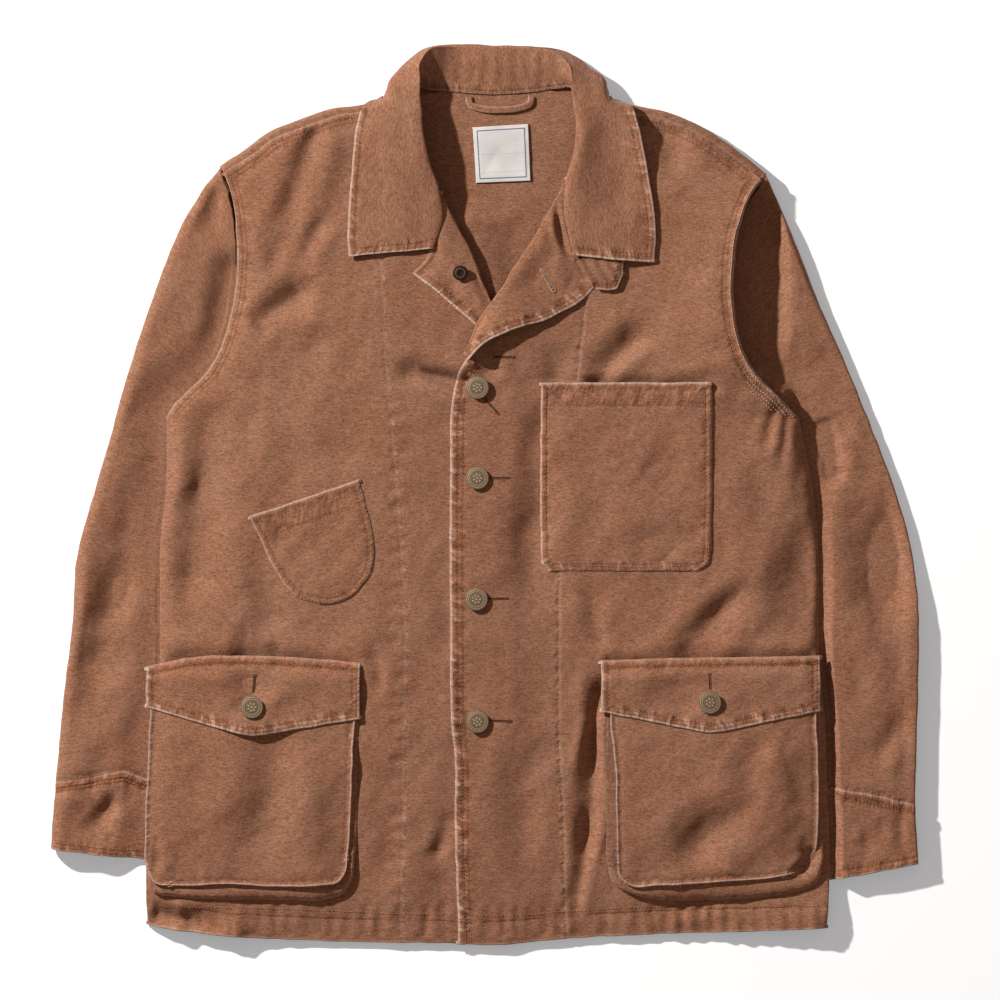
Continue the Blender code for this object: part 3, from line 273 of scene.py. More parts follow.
side_right, side_left = spline(SIDE_RIGHT), spline(SIDE_LEFT)
arm_right, arm_left = spline(ARMHOLE_RIGHT), spline(ARMHOLE_LEFT)
shoulder_right, shoulder_left = spline(SHOULDER_RIGHT), spline(SHOULDER_LEFT)
hem = spline(HEM)
flank_right, flank_left = chain(side_right, arm_right), chain(side_left, arm_left)
forward_right, forward_left = inward(shoulder_right, SHOULDER_FORWARD), inward(shoulder_left, -SHOULDER_FORWARD)


def outline(forward=0.0):
    """The body's outline from the right hem over the shoulders to the left hem, with its hem open."""
    t = np.linspace(0, 1, 60)
    right, left = inward(shoulder_right, forward)(t[5:]), inward(shoulder_left, -forward)(t[5:])
    return np.concatenate([[[-296, -500]], flank_right(t), right, left[::-1], flank_left(t)[::-1], [[300, -500]]])


OUTLINE, FRONT_OUTLINE = outline(), outline(SHOULDER_FORWARD)


def depth_inside(xy, ring):
    """How far each point is inside the outline, negative outside."""
    shape = xy.shape[:-1]
    p = xy.reshape(-1, 1, 2)
    a, b = ring[:-1][None], ring[1:][None]
    d = b - a
    t = np.clip(((p - a) * d).sum(-1) / np.maximum((d * d).sum(-1), 1e-9), 0, 1)
    near = np.linalg.norm(p - a - t[..., None] * d, axis=-1).min(1)
    a, b = ring, np.roll(ring, -1, 0)
    cross = (a[None, :, 1] > p[..., 1]) != (b[None, :, 1] > p[..., 1])
    x = a[:, 0] + (p[..., 1] - a[:, 1]) * (b - a)[:, 0] / np.where(abs((b - a)[:, 1]) < 1e-9, 1e-9, (b - a)[:, 1])
    inside = (cross & (p[..., 0] < x)).sum(1) % 2 == 1
    return np.where(inside, near, -near).reshape(shape)


def arm_level(y):
    """0 where a sleeve lies under the body's edge, 1 at the upper armhole where it is sewn to it."""
    return smooth((y - 192) / 24)


def tip_level(y):
    """The same on the left, where the armhole's edge drops to the sleeve up to the shoulder tip."""
    return smooth((y - 240) / 30)


def back_height(xy):
    """Middle of the back: on the surface, over the sleeves at its sides, and over the collar's leaf at the neck."""
    x, y = xy[..., 0], xy[..., 1]
    inner_r = np.interp(y, SLEEVE_RIGHT["inner_y"][::-1], SLEEVE_RIGHT["inner_x"][::-1])
    inner_l = np.interp(y, SLEEVE_LEFT["inner_y"][::-1], SLEEVE_LEFT["inner_x"][::-1])
    over = np.maximum(smooth((inner_r + 104 - x) / 54), smooth((x - inner_l + 104) / 54))
    over = over * smooth((y + 384) / 28) * (1 - arm_level(y))
    neck = smooth((y - 290) / 24) * smooth((x + 140) / 24) * smooth((160 - x) / 24)
    return FLOOR + SLEEVE_PRESSED * over + 1.9 * neck


def edge_height(xy):
    """Middle of the front along its outer edge, just over the back or at the shoulder's height."""
    x, y = xy[..., 0], xy[..., 1]
    low = FLOOR + SLEEVE_PRESSED * smooth((y + 384) / 28) + LAYER + 0.6
    return low + (SHOULDER_RISE - low) * np.where(x > 0, tip_level(y), arm_level(y))


def front_height(xy, roll=None):
    """Middle of the front: it rolls up from the edge to a nearly level top."""
    y = xy[..., 1]
    rise = np.interp(y, RISE["y"], RISE["z"])
    edge = edge_height(xy)
    width = 28 - 12 * smooth((-110 - y) / 40) if roll is None else roll
    depth = depth_inside(xy, FRONT_OUTLINE)
    t = np.clip(depth / width, 0, 1)
    proud = np.where(xy[..., 0] > 0, np.interp(y, PROUD["y"], PROUD["z"], 0, 0), 0) * smooth(depth / 2.6) * (1 - smooth((depth - 8) / 78))
    # The proud edge is full height at once, so its roll is narrow.
    narrow = smooth(depth / 2.6) * (rise - 1 - edge) * (1 - np.sqrt(1 - (1 - t) ** 2)) * smooth(proud / 6)
    lift = np.interp(xy[..., 0], HEM_LIFT["x"], HEM_LIFT["z"]) * smooth((-322 - y) / 50)
    return edge + (rise - edge) * np.sqrt(1 - (1 - t) ** 2) + proud + narrow + lift


def over_height(xy):
    """The front that laps over: a layer higher along the buttons, and more at the break, where the other lapel is under it."""
    x, y = xy[..., 0], xy[..., 1]
    at_break = smooth((y - 94) / 22) * smooth((246 - y) / 76) * (1 - smooth((x - 15) / 62))
    return front_height(xy) + LAYER * (1 - smooth((x - OVERLAP) / 25)) + BREAK_RISE * at_break


def facing(height, xy):
    """Unit normals of a height over the plan."""
    h = 1.0
    dx = (height(xy + [h, 0]) - height(xy - [h, 0])) / (2 * h)
    dy = (height(xy + [0, h]) - height(xy - [0, h])) / (2 * h)
    n = np.stack([-dx, -dy, np.ones_like(dx)], -1)
    return n / np.linalg.norm(n, axis=-1, keepdims=True)


def on(height, xy, out=0.0):
    """Points on a height, moved out of it."""
    points = np.concatenate([xy, height(xy)[..., None]], -1)
    return points + out * facing(height, xy) if out else points




# ---------------------------------------------------------------- plan of the cloth, folds and noise

GX, GY = np.arange(-404, 405, 1.0), np.arange(-414, 415, 1.0)
CX, CY = np.arange(-404, 406, 2.0), np.arange(-414, 416, 2.0)


def look(field, xy, step=1.0):
    """A raster's value at points of the plan."""
    u = np.clip((xy[..., 0] - GX[0]) / step, 0, field.shape[0] - 1.001)
    v = np.clip((xy[..., 1] - GY[0]) / step, 0, field.shape[1] - 1.001)
    i, j = u.astype(int), v.astype(int)
    a, b = u - i, v - j
    return field[i, j] * (1 - a) * (1 - b) + field[i + 1, j] * a * (1 - b) + field[i, j + 1] * (1 - a) * b + field[i + 1, j + 1] * a * b


def inside_raster(ring):
    """Signed distances inside a ring, on a 2 mm raster."""
    points = np.stack(np.meshgrid(CX, CY, indexing="ij"), -1).reshape(-1, 2)
    inside = np.zeros(len(points), bool)
    best = np.full(len(points), 1e12)
    a, b = ring, np.roll(ring, -1, 0)
    for i in range(len(ring)):
        if i < len(ring) - 1:
            d = b[i] - a[i]
            r = points - a[i]
            t = np.clip(r @ d / max(d @ d, 1e-9), 0, 1)
            off = r - t[:, None] * d
            best = np.minimum(best, (off * off).sum(1))
        cross = (a[i, 1] > points[:, 1]) != (b[i, 1] > points[:, 1])
        dy = b[i, 1] - a[i, 1]
        if cross.any():
            x = a[i, 0] + (points[:, 1] - a[i, 1]) * (b[i, 0] - a[i, 0]) / (dy if abs(dy) > 1e-9 else 1e-9)
            inside ^= cross & (points[:, 0] < x)
    near = np.sqrt(best)
    return np.where(inside, near, -near).reshape(len(CX), len(CY))


BODY_RING, FRONT_RING = inside_raster(OUTLINE), inside_raster(FRONT_OUTLINE)


def depth_inside(xy, ring):
    return look(FRONT_RING if ring is FRONT_OUTLINE else BODY_RING, xy, 2.0)


def P(*points):
    """Points of the flat view's grid, in millimetres."""
    p = np.array(points, float)
    return np.stack([(p[:, 0] - 484.5) * 0.88, (493 - p[:, 1]) * 0.88], 1)


def even(dense, gap):
    """The same line, with its points that far apart."""
    step = np.linalg.norm(np.diff(dense, axis=0), axis=1)
    at = np.concatenate([[0], np.cumsum(step)])
    n = max(2, int(round(at[-1] / gap)) + 1)
    s = np.linspace(0, at[-1], n)
    return np.stack([np.interp(s, at, dense[:, k]) for k in range(dense.shape[1])], 1)


def curve(points, gap=3.0):
    """A smooth line through points."""
    points = np.asarray(points, float)
    if len(points) > 2:
        points = spline({"x": points[:, 0], "y": points[:, 1]})(np.linspace(0, 1, 24 * len(points)))
    return even(points, gap)


def sampled(c, gap=3.0):
    """The points of one of the curves above."""
    return even(c(np.linspace(0, 1, 300)), gap)


def beside(path, by):
    """A line beside another, to its right if by is positive."""
    way = np.gradient(path, axis=0)
    way /= np.maximum(np.linalg.norm(way, axis=1, keepdims=True), 1e-9)
    return path + by * np.stack([way[:, 1], -way[:, 0]], 1)


def near(xy, path, reach=60.0):
    """Distance from a line, distance along it, and on which side of it, for each point."""
    shape = xy.shape[:-1]
    p = xy.reshape(-1, 2)
    lo, hi = path.min(0) - reach, path.max(0) + reach
    pick = np.flatnonzero(((p > lo) & (p < hi)).all(1))
    q = p[pick]
    best, along, side = np.full(len(q), 1e12), np.zeros(len(q)), np.ones(len(q))
    gone = 0.0
    for a, b in zip(path[:-1], path[1:]):
        d = b - a
        long = math.hypot(*d)
        r = q - a
        t = np.clip(r @ d / max(long * long, 1e-9), 0, 1)
        off = r - t[:, None] * d
        dist = (off * off).sum(1)
        better = dist < best
        best[better] = dist[better]
        along[better] = gone + t[better] * long
        side[better] = np.sign(d[0] * r[better, 1] - d[1] * r[better, 0])
        gone += long
    far, s, which = np.full(len(p), 999.0), np.zeros(len(p)), np.ones(len(p))
    far[pick], s[pick], which[pick] = np.sqrt(best), along, side
    return far.reshape(shape), s.reshape(shape), which.reshape(shape)


def noise(seed, long, short=None, angle=0.0):
    """Seeded smooth noise over the plan, of deviation 1, with those wavelengths along and across an angle."""
    short = short or long
    rng = np.random.default_rng(seed)
    white = np.fft.rfft2(rng.standard_normal((len(GX), len(GY))))
    fx, fy = np.fft.fftfreq(len(GX))[:, None], np.fft.rfftfreq(len(GY))[None]
    c, s = math.cos(math.radians(angle)), math.sin(math.radians(angle))
    r = ((fx * c + fy * s) * long) ** 2 + ((-fx * s + fy * c) * short) ** 2
    out = np.fft.irfft2(white * r * np.exp(-r), s=(len(GX), len(GY)))
    return out / out.std()


def crease(field, points, width, depth, lips=0.3, lean=0.0, ends=(0.3, 0.3), seed=1):
    """Adds a trough, or a ridge if depth is positive, of uneven depth and width along a line."""
    path = curve(points, 4.0)
    if width > 5.2:
        # The line given is where the crease looks dark, on the slope that faces away from the lamp.
        way = np.gradient(path, axis=0)
        way /= np.maximum(np.linalg.norm(way, axis=1, keepdims=True), 1e-9)
        n = np.stack([way[:, 1], -way[:, 0]], 1)
        path = path + n * (n @ np.array([0.8, -0.6]))[:, None] * 0.72 * width * (1 if depth < 0 else -1)
    reach = 4.2 * width
    lo, hi = path.min(0) - reach, path.max(0) + reach
    i0, i1 = np.searchsorted(GX, [lo[0], hi[0]])
    j0, j1 = np.searchsorted(GY, [lo[1], hi[1]])
    xy = np.stack(np.meshgrid(GX[i0:i1], GY[j0:j1], indexing="ij"), -1)
    d, s, side = near(xy, path, reach)
    whole = np.linalg.norm(np.diff(path, axis=0), axis=1).sum()
    t = s / whole
    rng = np.random.default_rng(seed)
    knots = np.linspace(0, 1, max(4, int(whole / 22)))
    deep = np.interp(t, knots, 1 + 0.28 * rng.standard_normal(len(knots)))
    wide = np.interp(t, knots, 1 + 0.18 * rng.standard_normal(len(knots)))
    w = width * np.clip(wide, 0.6, 1.5) * (1 + lean * side)
    taper = smooth(t / max(ends[0], 1e-3)) * smooth((1 - t) / max(ends[1], 1e-3))
    # Beyond its ends a crease fades out in a round.
    q = d / w
    shape = np.exp(-q * q) - lips * np.exp(-(((q - 1.9) / 0.85) ** 2))
    field[i0:i1, j0:j1] += depth * np.clip(deep, 0.3, 1.8) * taper * shape


WARP_X, WARP_Y = 0.16 * noise(901, 30), 0.16 * noise(902, 30)


def warped(xy):
    """Edges and seams wander a little, and whatever lies there goes along."""
    return xy + np.stack([look(WARP_X, xy), look(WARP_Y, xy)], -1)


# ---------------------------------------------------------------- folds, by what they are on

BODY = 0.42 * noise(11, 110, 70, 70) + 0.17 * noise(12, 46, 30, 60) + 0.045 * noise(13, 17, 11, 20)
for points, width, depth, lean, ends in (
    (((313, 118), (300, 154), (288, 190), (279, 222), (270, 252), (262, 288)), 10, -5.0, 0.1, (0.1, 0.3)),
    (((324, 276), (298, 289), (273, 304), (248, 325)), 9, -4.6, 0, (0.4, 0.12)),
    (((350, 134), (334, 185), (312, 248)), 22, -4.6, 0, (0.3, 0.5)), (((322, 206), (304, 240), (288, 268)), 11, -3.2, 0, (0.4, 0.4)),
    (((228, 175), (222, 200), (226, 226)), 7, -1.0, 0, (0.4, 0.4)),
    (((345, 322), (315, 338), (287, 360)), 11, -2.2, 0, (0.5, 0.5)),
    (((208, 392), (198, 430), (190, 500), (184, 545), (182, 640)), 15, -7.4, 0.3, (0.12, 0.3)),
    (((392, 366), (428, 372), (470, 384)), 7.5, -5.8, 0, (0.3, 0.02)), (((412, 371), (440, 377), (472, 386)), 4.8, -5.0, 0, (0.4, 0.02)), (((476, 346), (484, 362), (480, 382)), 9, -3.0, 0, (0.3, 0.3)),
    (((252, 368), (262, 378), (280, 380)), 8, -1.0, 0, (0.4, 0.5)),
    (((240, 398), (246, 440), (236, 500)), 9, -1.4, 0, (0.3, 0.6)),
    (((300, 440), (340, 448), (380, 470)), 10, -1.0, 0, (0.5, 0.5)),
    (((246, 520), (258, 580), (258, 640)), 14, -3.4, 0, (0.5, 0.2)),
    (((430, 560), (440, 620), (428, 680)), 10, -1.2, 0, (0.4, 0.4)),
    (((446, 803), (436, 836), (424, 867)), 9, -2.8, 0, (0.3, 0.3)),
    (((428, 870), (440, 890), (436, 915)), 8, -1.4, 0, (0.4, 0.3)),
    (((404, 480), (432, 500), (448, 545)), 11, -1.5, 0, (0.4, 0.4)),
    (((470, 650), (460, 690), (463, 730)), 8, -0.9, 0, (0.4, 0.4)),
    (((366, 645), (380, 672), (376, 700)), 5, -1.7, 0, (0.3, 0.5)),
    (((380, 800), (384, 850), (376, 890)), 8, -1.0, 0, (0.4, 0.4)),
    # Wearer's left.
    (((652, 324), (622, 341), (599, 364), (586, 388)), 10, -6.6, -0.25, (0.3, 0.1)),
    (((560, 340), (552, 362), (548, 384)), 12, -3.4, 0, (0.4, 0.1)),
    (((572, 386), (620, 384), (680, 384), (726, 386)), 6, -4.0, 0.2, (0.2, 0.25)),
    (((680, 368), (725, 368), (770, 386)), 7, 1.6, 0, (0.4, 0.2)),
    (((778, 404), (770, 424), (763, 455)), 5, -2.0, 0, (0.1, 0.5)),
    (((786, 410), (783, 440), (775, 480)), 5, -1.7, 0, (0.1, 0.5)),
    (((794, 420), (796, 455), (792, 510)), 6, -1.4, 0, (0.15, 0.5)),
    (((733, 376), (746, 352), (740, 326)), 6, -1.2, 0, (0.2, 0.5)),
    (((742, 452), (752, 500), (742, 560)), 13, -1.5, 0, (0.4, 0.4)),
    (((756, 568), (730, 590), (706, 614), (684, 639), (664, 655)), 11, -4.8, 0.1, (0.35, 0.25)),
    (((784, 490), (782, 575), (778, 650)), 24, -5.6, 0, (0.4, 0.2)),
    (((604, 664), (592, 703), (587, 793), (579, 860), (568, 915)), 7.5, -6.6, -0.2, (0.1, 0.12)),
    (((560, 725), (535, 752), (505, 780)), 10, -1.8, 0, (0.4, 0.5)),
    (((586, 575), (588, 620), (600, 655)), 9, -2.0, 0, (0.4, 0.2)),
    (((556, 590), (575, 592), (600, 588)), 7, -0.9, 0, (0.4, 0.4)),
    (((538, 392), (534, 470), (540, 560)), 11, -3.6, 0, (0.2, 0.3)),
    (((640, 575), (655, 600), (640, 640)), 12, -0.9, 0, (0.5, 0.5)),
    (((700, 190), (690, 245), (698, 300)), 26, -4.6, 0, (0.4, 0.4)),
    (((665, 280), (690, 310), (700, 345)), 12, -1.3, 0, (0.5, 0.5)),
    (((648, 112), (662, 145), (668, 195)), 15, -3.6, 0, (0.35, 0.5)),
    (((500, 340), (510, 362), (522, 380)), 10, -1.8, 0, (0.2, 0.4)),
    (((520, 400), (522, 450), (530, 500)), 9, -1.2, 0, (0.4, 0.5)),
    (((508, 470), (520, 550), (514, 630)), 18, -5.4, 0, (0.4, 0.5)),
    (((488, 640), (505, 660), (535, 668)), 8, -1.2, 0, (0.4, 0.5)),
    (((500, 740), (512, 810), (506, 880)), 15, -4.4, 0, (0.4, 0.5)),
    (((650, 900), (700, 898), (760, 896)), 7, -1.5, 0, (0.3, 0.3)),
    (((150, 908), (190, 916), (240, 921)), 12, -6.4, 0, (0.1, 0.35)),
    # The cloth goes down into the seams above the two flaps.
    (((152, 661), (190, 658), (256, 659), (306, 662), (362, 665)), 7, -4.6, 0.2, (0.03, 0.04)),
    (((602, 663), (690, 660), (760, 659), (817, 658)), 6.5, -4.0, 0.2, (0.03, 0.04)),
    (((226, 644), (250, 644), (292, 647)), 13, -3.4, 0, (0.3, 0.3)),
):
    crease(BODY, P(*points), width, depth, 0.22, lean, ends, int(points[0][0]))
# Ripples across the hem band, the placket and beside the lengthwise seams.
hem_xs = np.random.default_rng(5).permutation(np.arange(172, 820, 15))
for n, x in enumerate(hem_xs):
    if abs(x - 590) < 12:
        continue
    lean_x = (n % 5 - 2) * 2.4
    crease(BODY, P((x, 899), (x + lean_x / 2, 916), (x + lean_x, 937)), 4.0, -0.55 - 0.6 * ((n * 7) % 5) / 4, 0.3, 0, (0.3, 0.1), n)
for n, y in enumerate(range(398, 905, 17)):
    y = y + (n * 37) % 9
    crease(BODY, P((389, y), (399, y + 1), (412, y + 3 - (n * 5) % 7)), 3.2, -0.45 - 0.5 * ((n * 3) % 4) / 3, 0.35, 0, (0.15, 0.6), n)
    crease(BODY, P((455, y + 5), (462, y + 6), (471, y + 7)), 2.8, -0.3 - 0.3 * ((n * 3) % 4) / 3, 0.35, 0, (0.2, 0.4), n + 40)

BACK = 0.22 * np.abs(noise(31, 120, 60, 80)) + 0.08 * noise(32, 40, 26, 50)
for points, width, depth in (
    (((300, 250), (330, 420), (320, 600)), 9, 1.0), (((650, 260), (630, 400), (660, 560)), 9, 0.9),
    (((420, 640), (480, 760), (470, 880)), 10, 0.8), (((560, 620), (590, 740), (560, 860)), 8, 0.8), (((440, 260), (490, 330), (540, 340)), 8, 0.7),
    (((450, 120), (452, 200), (476, 260)), 12, -0.6), (((520, 190), (510, 240), (496, 290)), 9, -0.4), (((540, 130), (530, 190), (515, 260)), 9, 0.5),
):
    crease(BACK, P(*points), width, depth, 0.2, 0, (0.4, 0.4), int(points[0][0]))
crease(BACK, P((486, 230), (498, 275), (512, 318)), 16, 2.8, 0, 0, (0.3, 0.3), 5)
# The back swells beside the lapel that lies on it.
crease(BACK, P((466, 165), (476, 225), (494, 285), (520, 330)), 22, 6.6, 0, 0, (0.25, 0.2), 3)

SLEEVES = 0.5 * noise(41, 120, 62, 75) + 0.19 * noise(42, 46, 30, 60) + 0.045 * noise(43, 16, 11, 40)
for points, width, depth, lean in (
    (((124, 470), (112, 540), (96, 620), (82, 700), (76, 745)), 19, -8.5, 0), (((105, 730), (92, 780), (80, 830)), 10, -1.6, 0),
    (((214, 176), (209, 208), (205, 246)), 9, -3.2, 0), (((219, 252), (215, 310), (201, 366)), 10, -3.0, 0), (((196, 250), (165, 330), (150, 390)), 10, -0.3, 0),
    (((190, 285), (172, 325), (162, 352)), 10, -0.5, 0), (((160, 430), (140, 470), (128, 500)), 9, -1.2, 0), (((140, 690), (128, 740), (116, 764)), 10, -1.8, 0),
    (((118, 774), (107, 800), (94, 820), (83, 838)), 7, -4.0, 0), (((104, 785), (92, 812), (72, 840)), 15, -5.2, 0), (((134, 782), (131, 797), (128, 812)), 5, -1.8, 0), (((146, 790), (144, 810), (140, 830)), 5, -1.0, 0),
    (((64, 800), (66, 820), (72, 842)), 6, -1.0, 0), (((108, 812), (112, 830), (110, 850)), 5, -0.8, 0),
    (((872, 480), (868, 540), (868, 600), (872, 650)), 20, -7.4, 0), (((892, 541), (876, 570), (860, 596)), 10, -1.4, 0), (((905, 690), (880, 735), (851, 768)), 12, -2.4, 0),
    (((810, 350), (830, 400), (840, 450)), 10, -0.4, 0), (((880, 600), (890, 650), (884, 700)), 10, -1.2, 0),
    (((845, 640), (850, 680), (840, 720)), 9, -1.2, 0), (((903, 730), (898, 770), (902, 800)), 7, -1.0, 0), (((850, 810), (862, 830), (858, 860)), 6, -1.2, 0),
    (((885, 812), (880, 835), (884, 858)), 5, -1.0, 0), (((838, 420), (850, 440), (866, 452)), 7, -1.0, 0), (((905, 800), (900, 830), (906, 860)), 5, -0.9, 0),
):
    crease(SLEEVES, P(*points), width, depth, 0.3, lean, (0.4, 0.4), int(points[0][0]))

# Steps in the wearer's left sleeve beside the armhole, which the body's shadow ends at.
STEPS = 0 * SLEEVES
for points, width, depth in (
    (((795, 180), (801, 240), (805, 300), (805, 378)), 20, 3.6), (((756, 210), (763, 290), (763, 350)), 14, -4.6),
    (((748, 372), (768, 391), (792, 402)), 9, 9.0), (((812, 420), (824, 450), (826, 490)), 13, -5.2), (((848, 432), (856, 470), (850, 520)), 12, 1.6),
):
    crease(STEPS, P(*points), width, depth, 0, 0.6 if width == 20 else 0, (0.12, 0.25), int(points[0][0]))

POCKETS = 0.34 * noise(51, 80, 55, 70) + 0.14 * noise(52, 36, 24, 50) + 0.04 * noise(53, 14, 10)
for points, width, depth in (
    (((702, 516), (674, 528), (647, 544), (627, 563)), 13, -2.3), (((570, 440), (590, 470), (584, 510)), 10, -0.5), (((660, 420), (668, 460), (690, 480)), 10, -0.5),
    (((560, 392), (562, 398), (561, 404)), 4, -0.5), (((600, 390), (603, 398), (602, 405)), 4, -0.5), (((642, 390), (640, 398), (641, 405)), 4, -0.5), (((680, 390), (683, 398), (681, 405)), 4, -0.5),
    (((270, 705), (266, 745), (258, 790), (246, 840), (228, 876)), 22, -6.6), (((159, 828), (159, 850), (160, 876)), 4.0, -2.6), (((172, 836), (174, 850), (172, 870)), 4, 0.7),
    (((310, 740), (322, 800), (318, 850)), 12, -1.0), (((280, 840), (300, 850), (330, 846)), 9, -0.6), (((180, 730), (176, 770), (180, 800)), 9, -0.5),
    (((758, 796), (726, 810), (702, 823), (684, 843), (672, 876)), 12, -4.4), (((812, 838), (804, 856), (786, 874)), 6.5, -4.5), (((806, 830), (802, 846), (790, 856)), 4, -1.2),
    (((760, 720), (740, 760), (756, 800)), 13, -2.0), (((800, 740), (790, 780), (800, 815)), 9, -0.8), (((700, 745), (690, 780), (705, 800)), 10, -0.5),
    (((248, 660), (241, 690), (240, 722)), 13, -5.2), (((300, 672), (310, 695), (304, 712)), 9, -0.5), (((700, 664), (690, 690), (694, 716)), 13, -2.2), (((770, 668), (776, 690), (770, 708)), 8, -0.6),
    (((236, 664), (250, 690), (252, 712)), 7, -0.6), (((730, 664), (712, 686), (716, 712)), 7, -0.6), (((672, 662), (660, 688), (652, 714)), 18, -4.4),
    (((272, 520), (290, 540), (300, 570)), 10, -1.3), (((280, 560), (292, 575), (300, 598)), 7, -0.4),
):
    crease(POCKETS, P(*points), width, depth, 0.3, 0, (0.35, 0.35), int(points[0][0]))
# The hem bands of flaps ripple between the stitches and the edge.
for n, x in enumerate(range(160, 356, 9)):
    crease(POCKETS, P((x, 655), (x + 1, 663), (x + 2, 668)), 2.4, -0.3, 0.3, 0, (0.3, 0.3), n)
for n, x in enumerate(range(610, 812, 9)):
    crease(POCKETS, P((x, 656), (x + 1, 664), (x + 2, 669)), 2.4, -0.3, 0.3, 0, (0.3, 0.3), n)

COLLAR_FOLDS = 0.16 * noise(61, 60, 36, 85) + 0.06 * noise(62, 26, 16, 85) + 0.02 * noise(63, 12, 8)
for points, width, depth in (
    (((600, 105), (606, 160), (610, 235)), 17, -3.8), (((392, 110), (384, 160), (380, 225)), 9, -0.7), (((408, 100), (410, 160), (420, 220)), 8, 0.5),
    (((600, 110), (592, 150), (588, 220)), 8, 0.5), (((636, 160), (640, 200), (642, 240)), 7, -0.5), (((370, 130), (368, 180), (364, 230)), 7, -0.5),
    (((430, 262), (446, 276), (462, 300)), 6, -1.1), (((440, 252), (462, 262), (470, 280)), 5, -0.9), (((424, 270), (436, 282), (450, 296)), 4, 0.6),
    (((556, 198), (560, 236), (571, 262)), 2.6, -1.9), (((563, 196), (566, 232), (577, 268)), 2.6, 1.4), (((549, 200), (553, 232), (562, 262)), 2.8, 1.2),
    (((540, 250), (520, 290), (495, 325)), 9, -0.6), (((575, 275), (570, 285), (562, 296)), 3, -0.6), (((583, 272), (582, 284), (580, 294)), 3, -0.5),
):
    crease(COLLAR_FOLDS, P(*points), width, depth, 0.3, 0, (0.3, 0.3), int(points[0][0]))
for n, x in enumerate((433, 445, 458, 472, 486, 500, 514, 527, 541, 553)):
    crease(COLLAR_FOLDS, P((x, 50), (x + 2, 70), (x - 1, 91)), 4.4, -1.3 - 0.5 * (n % 3), 0.4, 0, (0.25, 0.15), n)


# ---------------------------------------------------------------- material nodes


class Tree:
    """Short ways to add shader nodes."""

    def __init__(self, name):
        self.material = bpy.data.materials.new(name)
        self.material.use_nodes = True
        self.tree = self.material.node_tree
        self.shader = self.tree.nodes["Principled BSDF"]

    def put(self, node, name, value):
        if isinstance(value, bpy.types.NodeSocket):
            self.tree.links.new(value, node.inputs[name])
        elif value is not None:
            node.inputs[name].default_value = value

    def new(self, kind, **settings):
        node = self.tree.nodes.new(kind)
        for name, value in settings.items():
            setattr(node, name, value)
        return node

    def math(self, op, a, b=None, c=None, clamp=False):
        node = self.new("ShaderNodeMath", operation=op, use_clamp=clamp)
        for i, value in enumerate((a, b, c)):
            if value is not None:
                self.put(node, i, value)
        return node.outputs[0]

    def vmath(self, op, a, b):
        node = self.new("ShaderNodeVectorMath", operation=op)
        self.put(node, 0, a)
        self.put(node, 1, b)
        return node.outputs[0]

    def attribute(self, name, vector=False):
        node = self.new("ShaderNodeAttribute", attribute_type="GEOMETRY", attribute_name=name)
        return node.outputs["Vector" if vector else "Fac"]

    def noise(self, vector, scale, detail=2.0, rough=0.5, seed=0.0, distortion=0.0):
        node = self.new("ShaderNodeTexNoise", noise_dimensions="4D")
        self.put(node, "Vector", vector)
        self.put(node, "W", seed)
        self.put(node, "Scale", scale)
        self.put(node, "Detail", detail)
        self.put(node, "Roughness", rough)
        self.put(node, "Distortion", distortion)
        return node.outputs["Fac"]

    def step(self, value, low, high, out_low=0.0, out_high=1.0, smooth=True):
        node = self.new("ShaderNodeMapRange", interpolation_type="SMOOTHSTEP" if smooth else "LINEAR", clamp=True)
        for name, v in (("Value", value), ("From Min", low), ("From Max", high), ("To Min", out_low), ("To Max", out_high)):
            self.put(node, name, v)
        return node.outputs["Result"]

    def mix(self, factor, a, b, kind="MIX"):
        node = self.new("ShaderNodeMix", data_type="RGBA", blend_type=kind)
        node.clamp_factor = True
        self.put(node, "Factor", factor)
        self.put(node, 6, a)
        self.put(node, 7, b)
        return node.outputs[2]

    def combine(self, x, y, z=0.0):
        node = self.new("ShaderNodeCombineXYZ")
        for i, v in enumerate((x, y, z)):
            self.put(node, i, v)
        return node.outputs[0]

    def split(self, vector):
        node = self.new("ShaderNodeSeparateXYZ")
        self.put(node, 0, vector)
        return node.outputs

    def scaled(self, colour, factor):
        node = self.new("ShaderNodeVectorMath", operation="SCALE")
        self.put(node, 0, colour)
        self.put(node, "Scale", factor)
        return node.outputs[0]

    def bump(self, height, normal=None, strength=1.0):
        node = self.new("ShaderNodeBump")
        node.inputs["Distance"].default_value = 1.0
        node.inputs["Strength"].default_value = strength
        self.put(node, "Height", height)
        self.put(node, "Normal", normal)
        return node.outputs[0]

    def finish(self, colour, normal=None, roughness=0.9, metallic=0.0, sheen=0.0, specular=0.25):
        self.put(self.shader, "Base Color", colour)
        self.put(self.shader, "Normal", normal)
        self.put(self.shader, "Roughness", roughness)
        self.shader.inputs["Metallic"].default_value = metallic
        self.shader.inputs["Sheen Weight"].default_value = sheen
        self.shader.inputs["Sheen Roughness"].default_value = 0.5
        self.shader.inputs["Specular IOR Level"].default_value = specular
        return self.material


CANVAS_BASE = (0.284, 0.134, 0.0785)


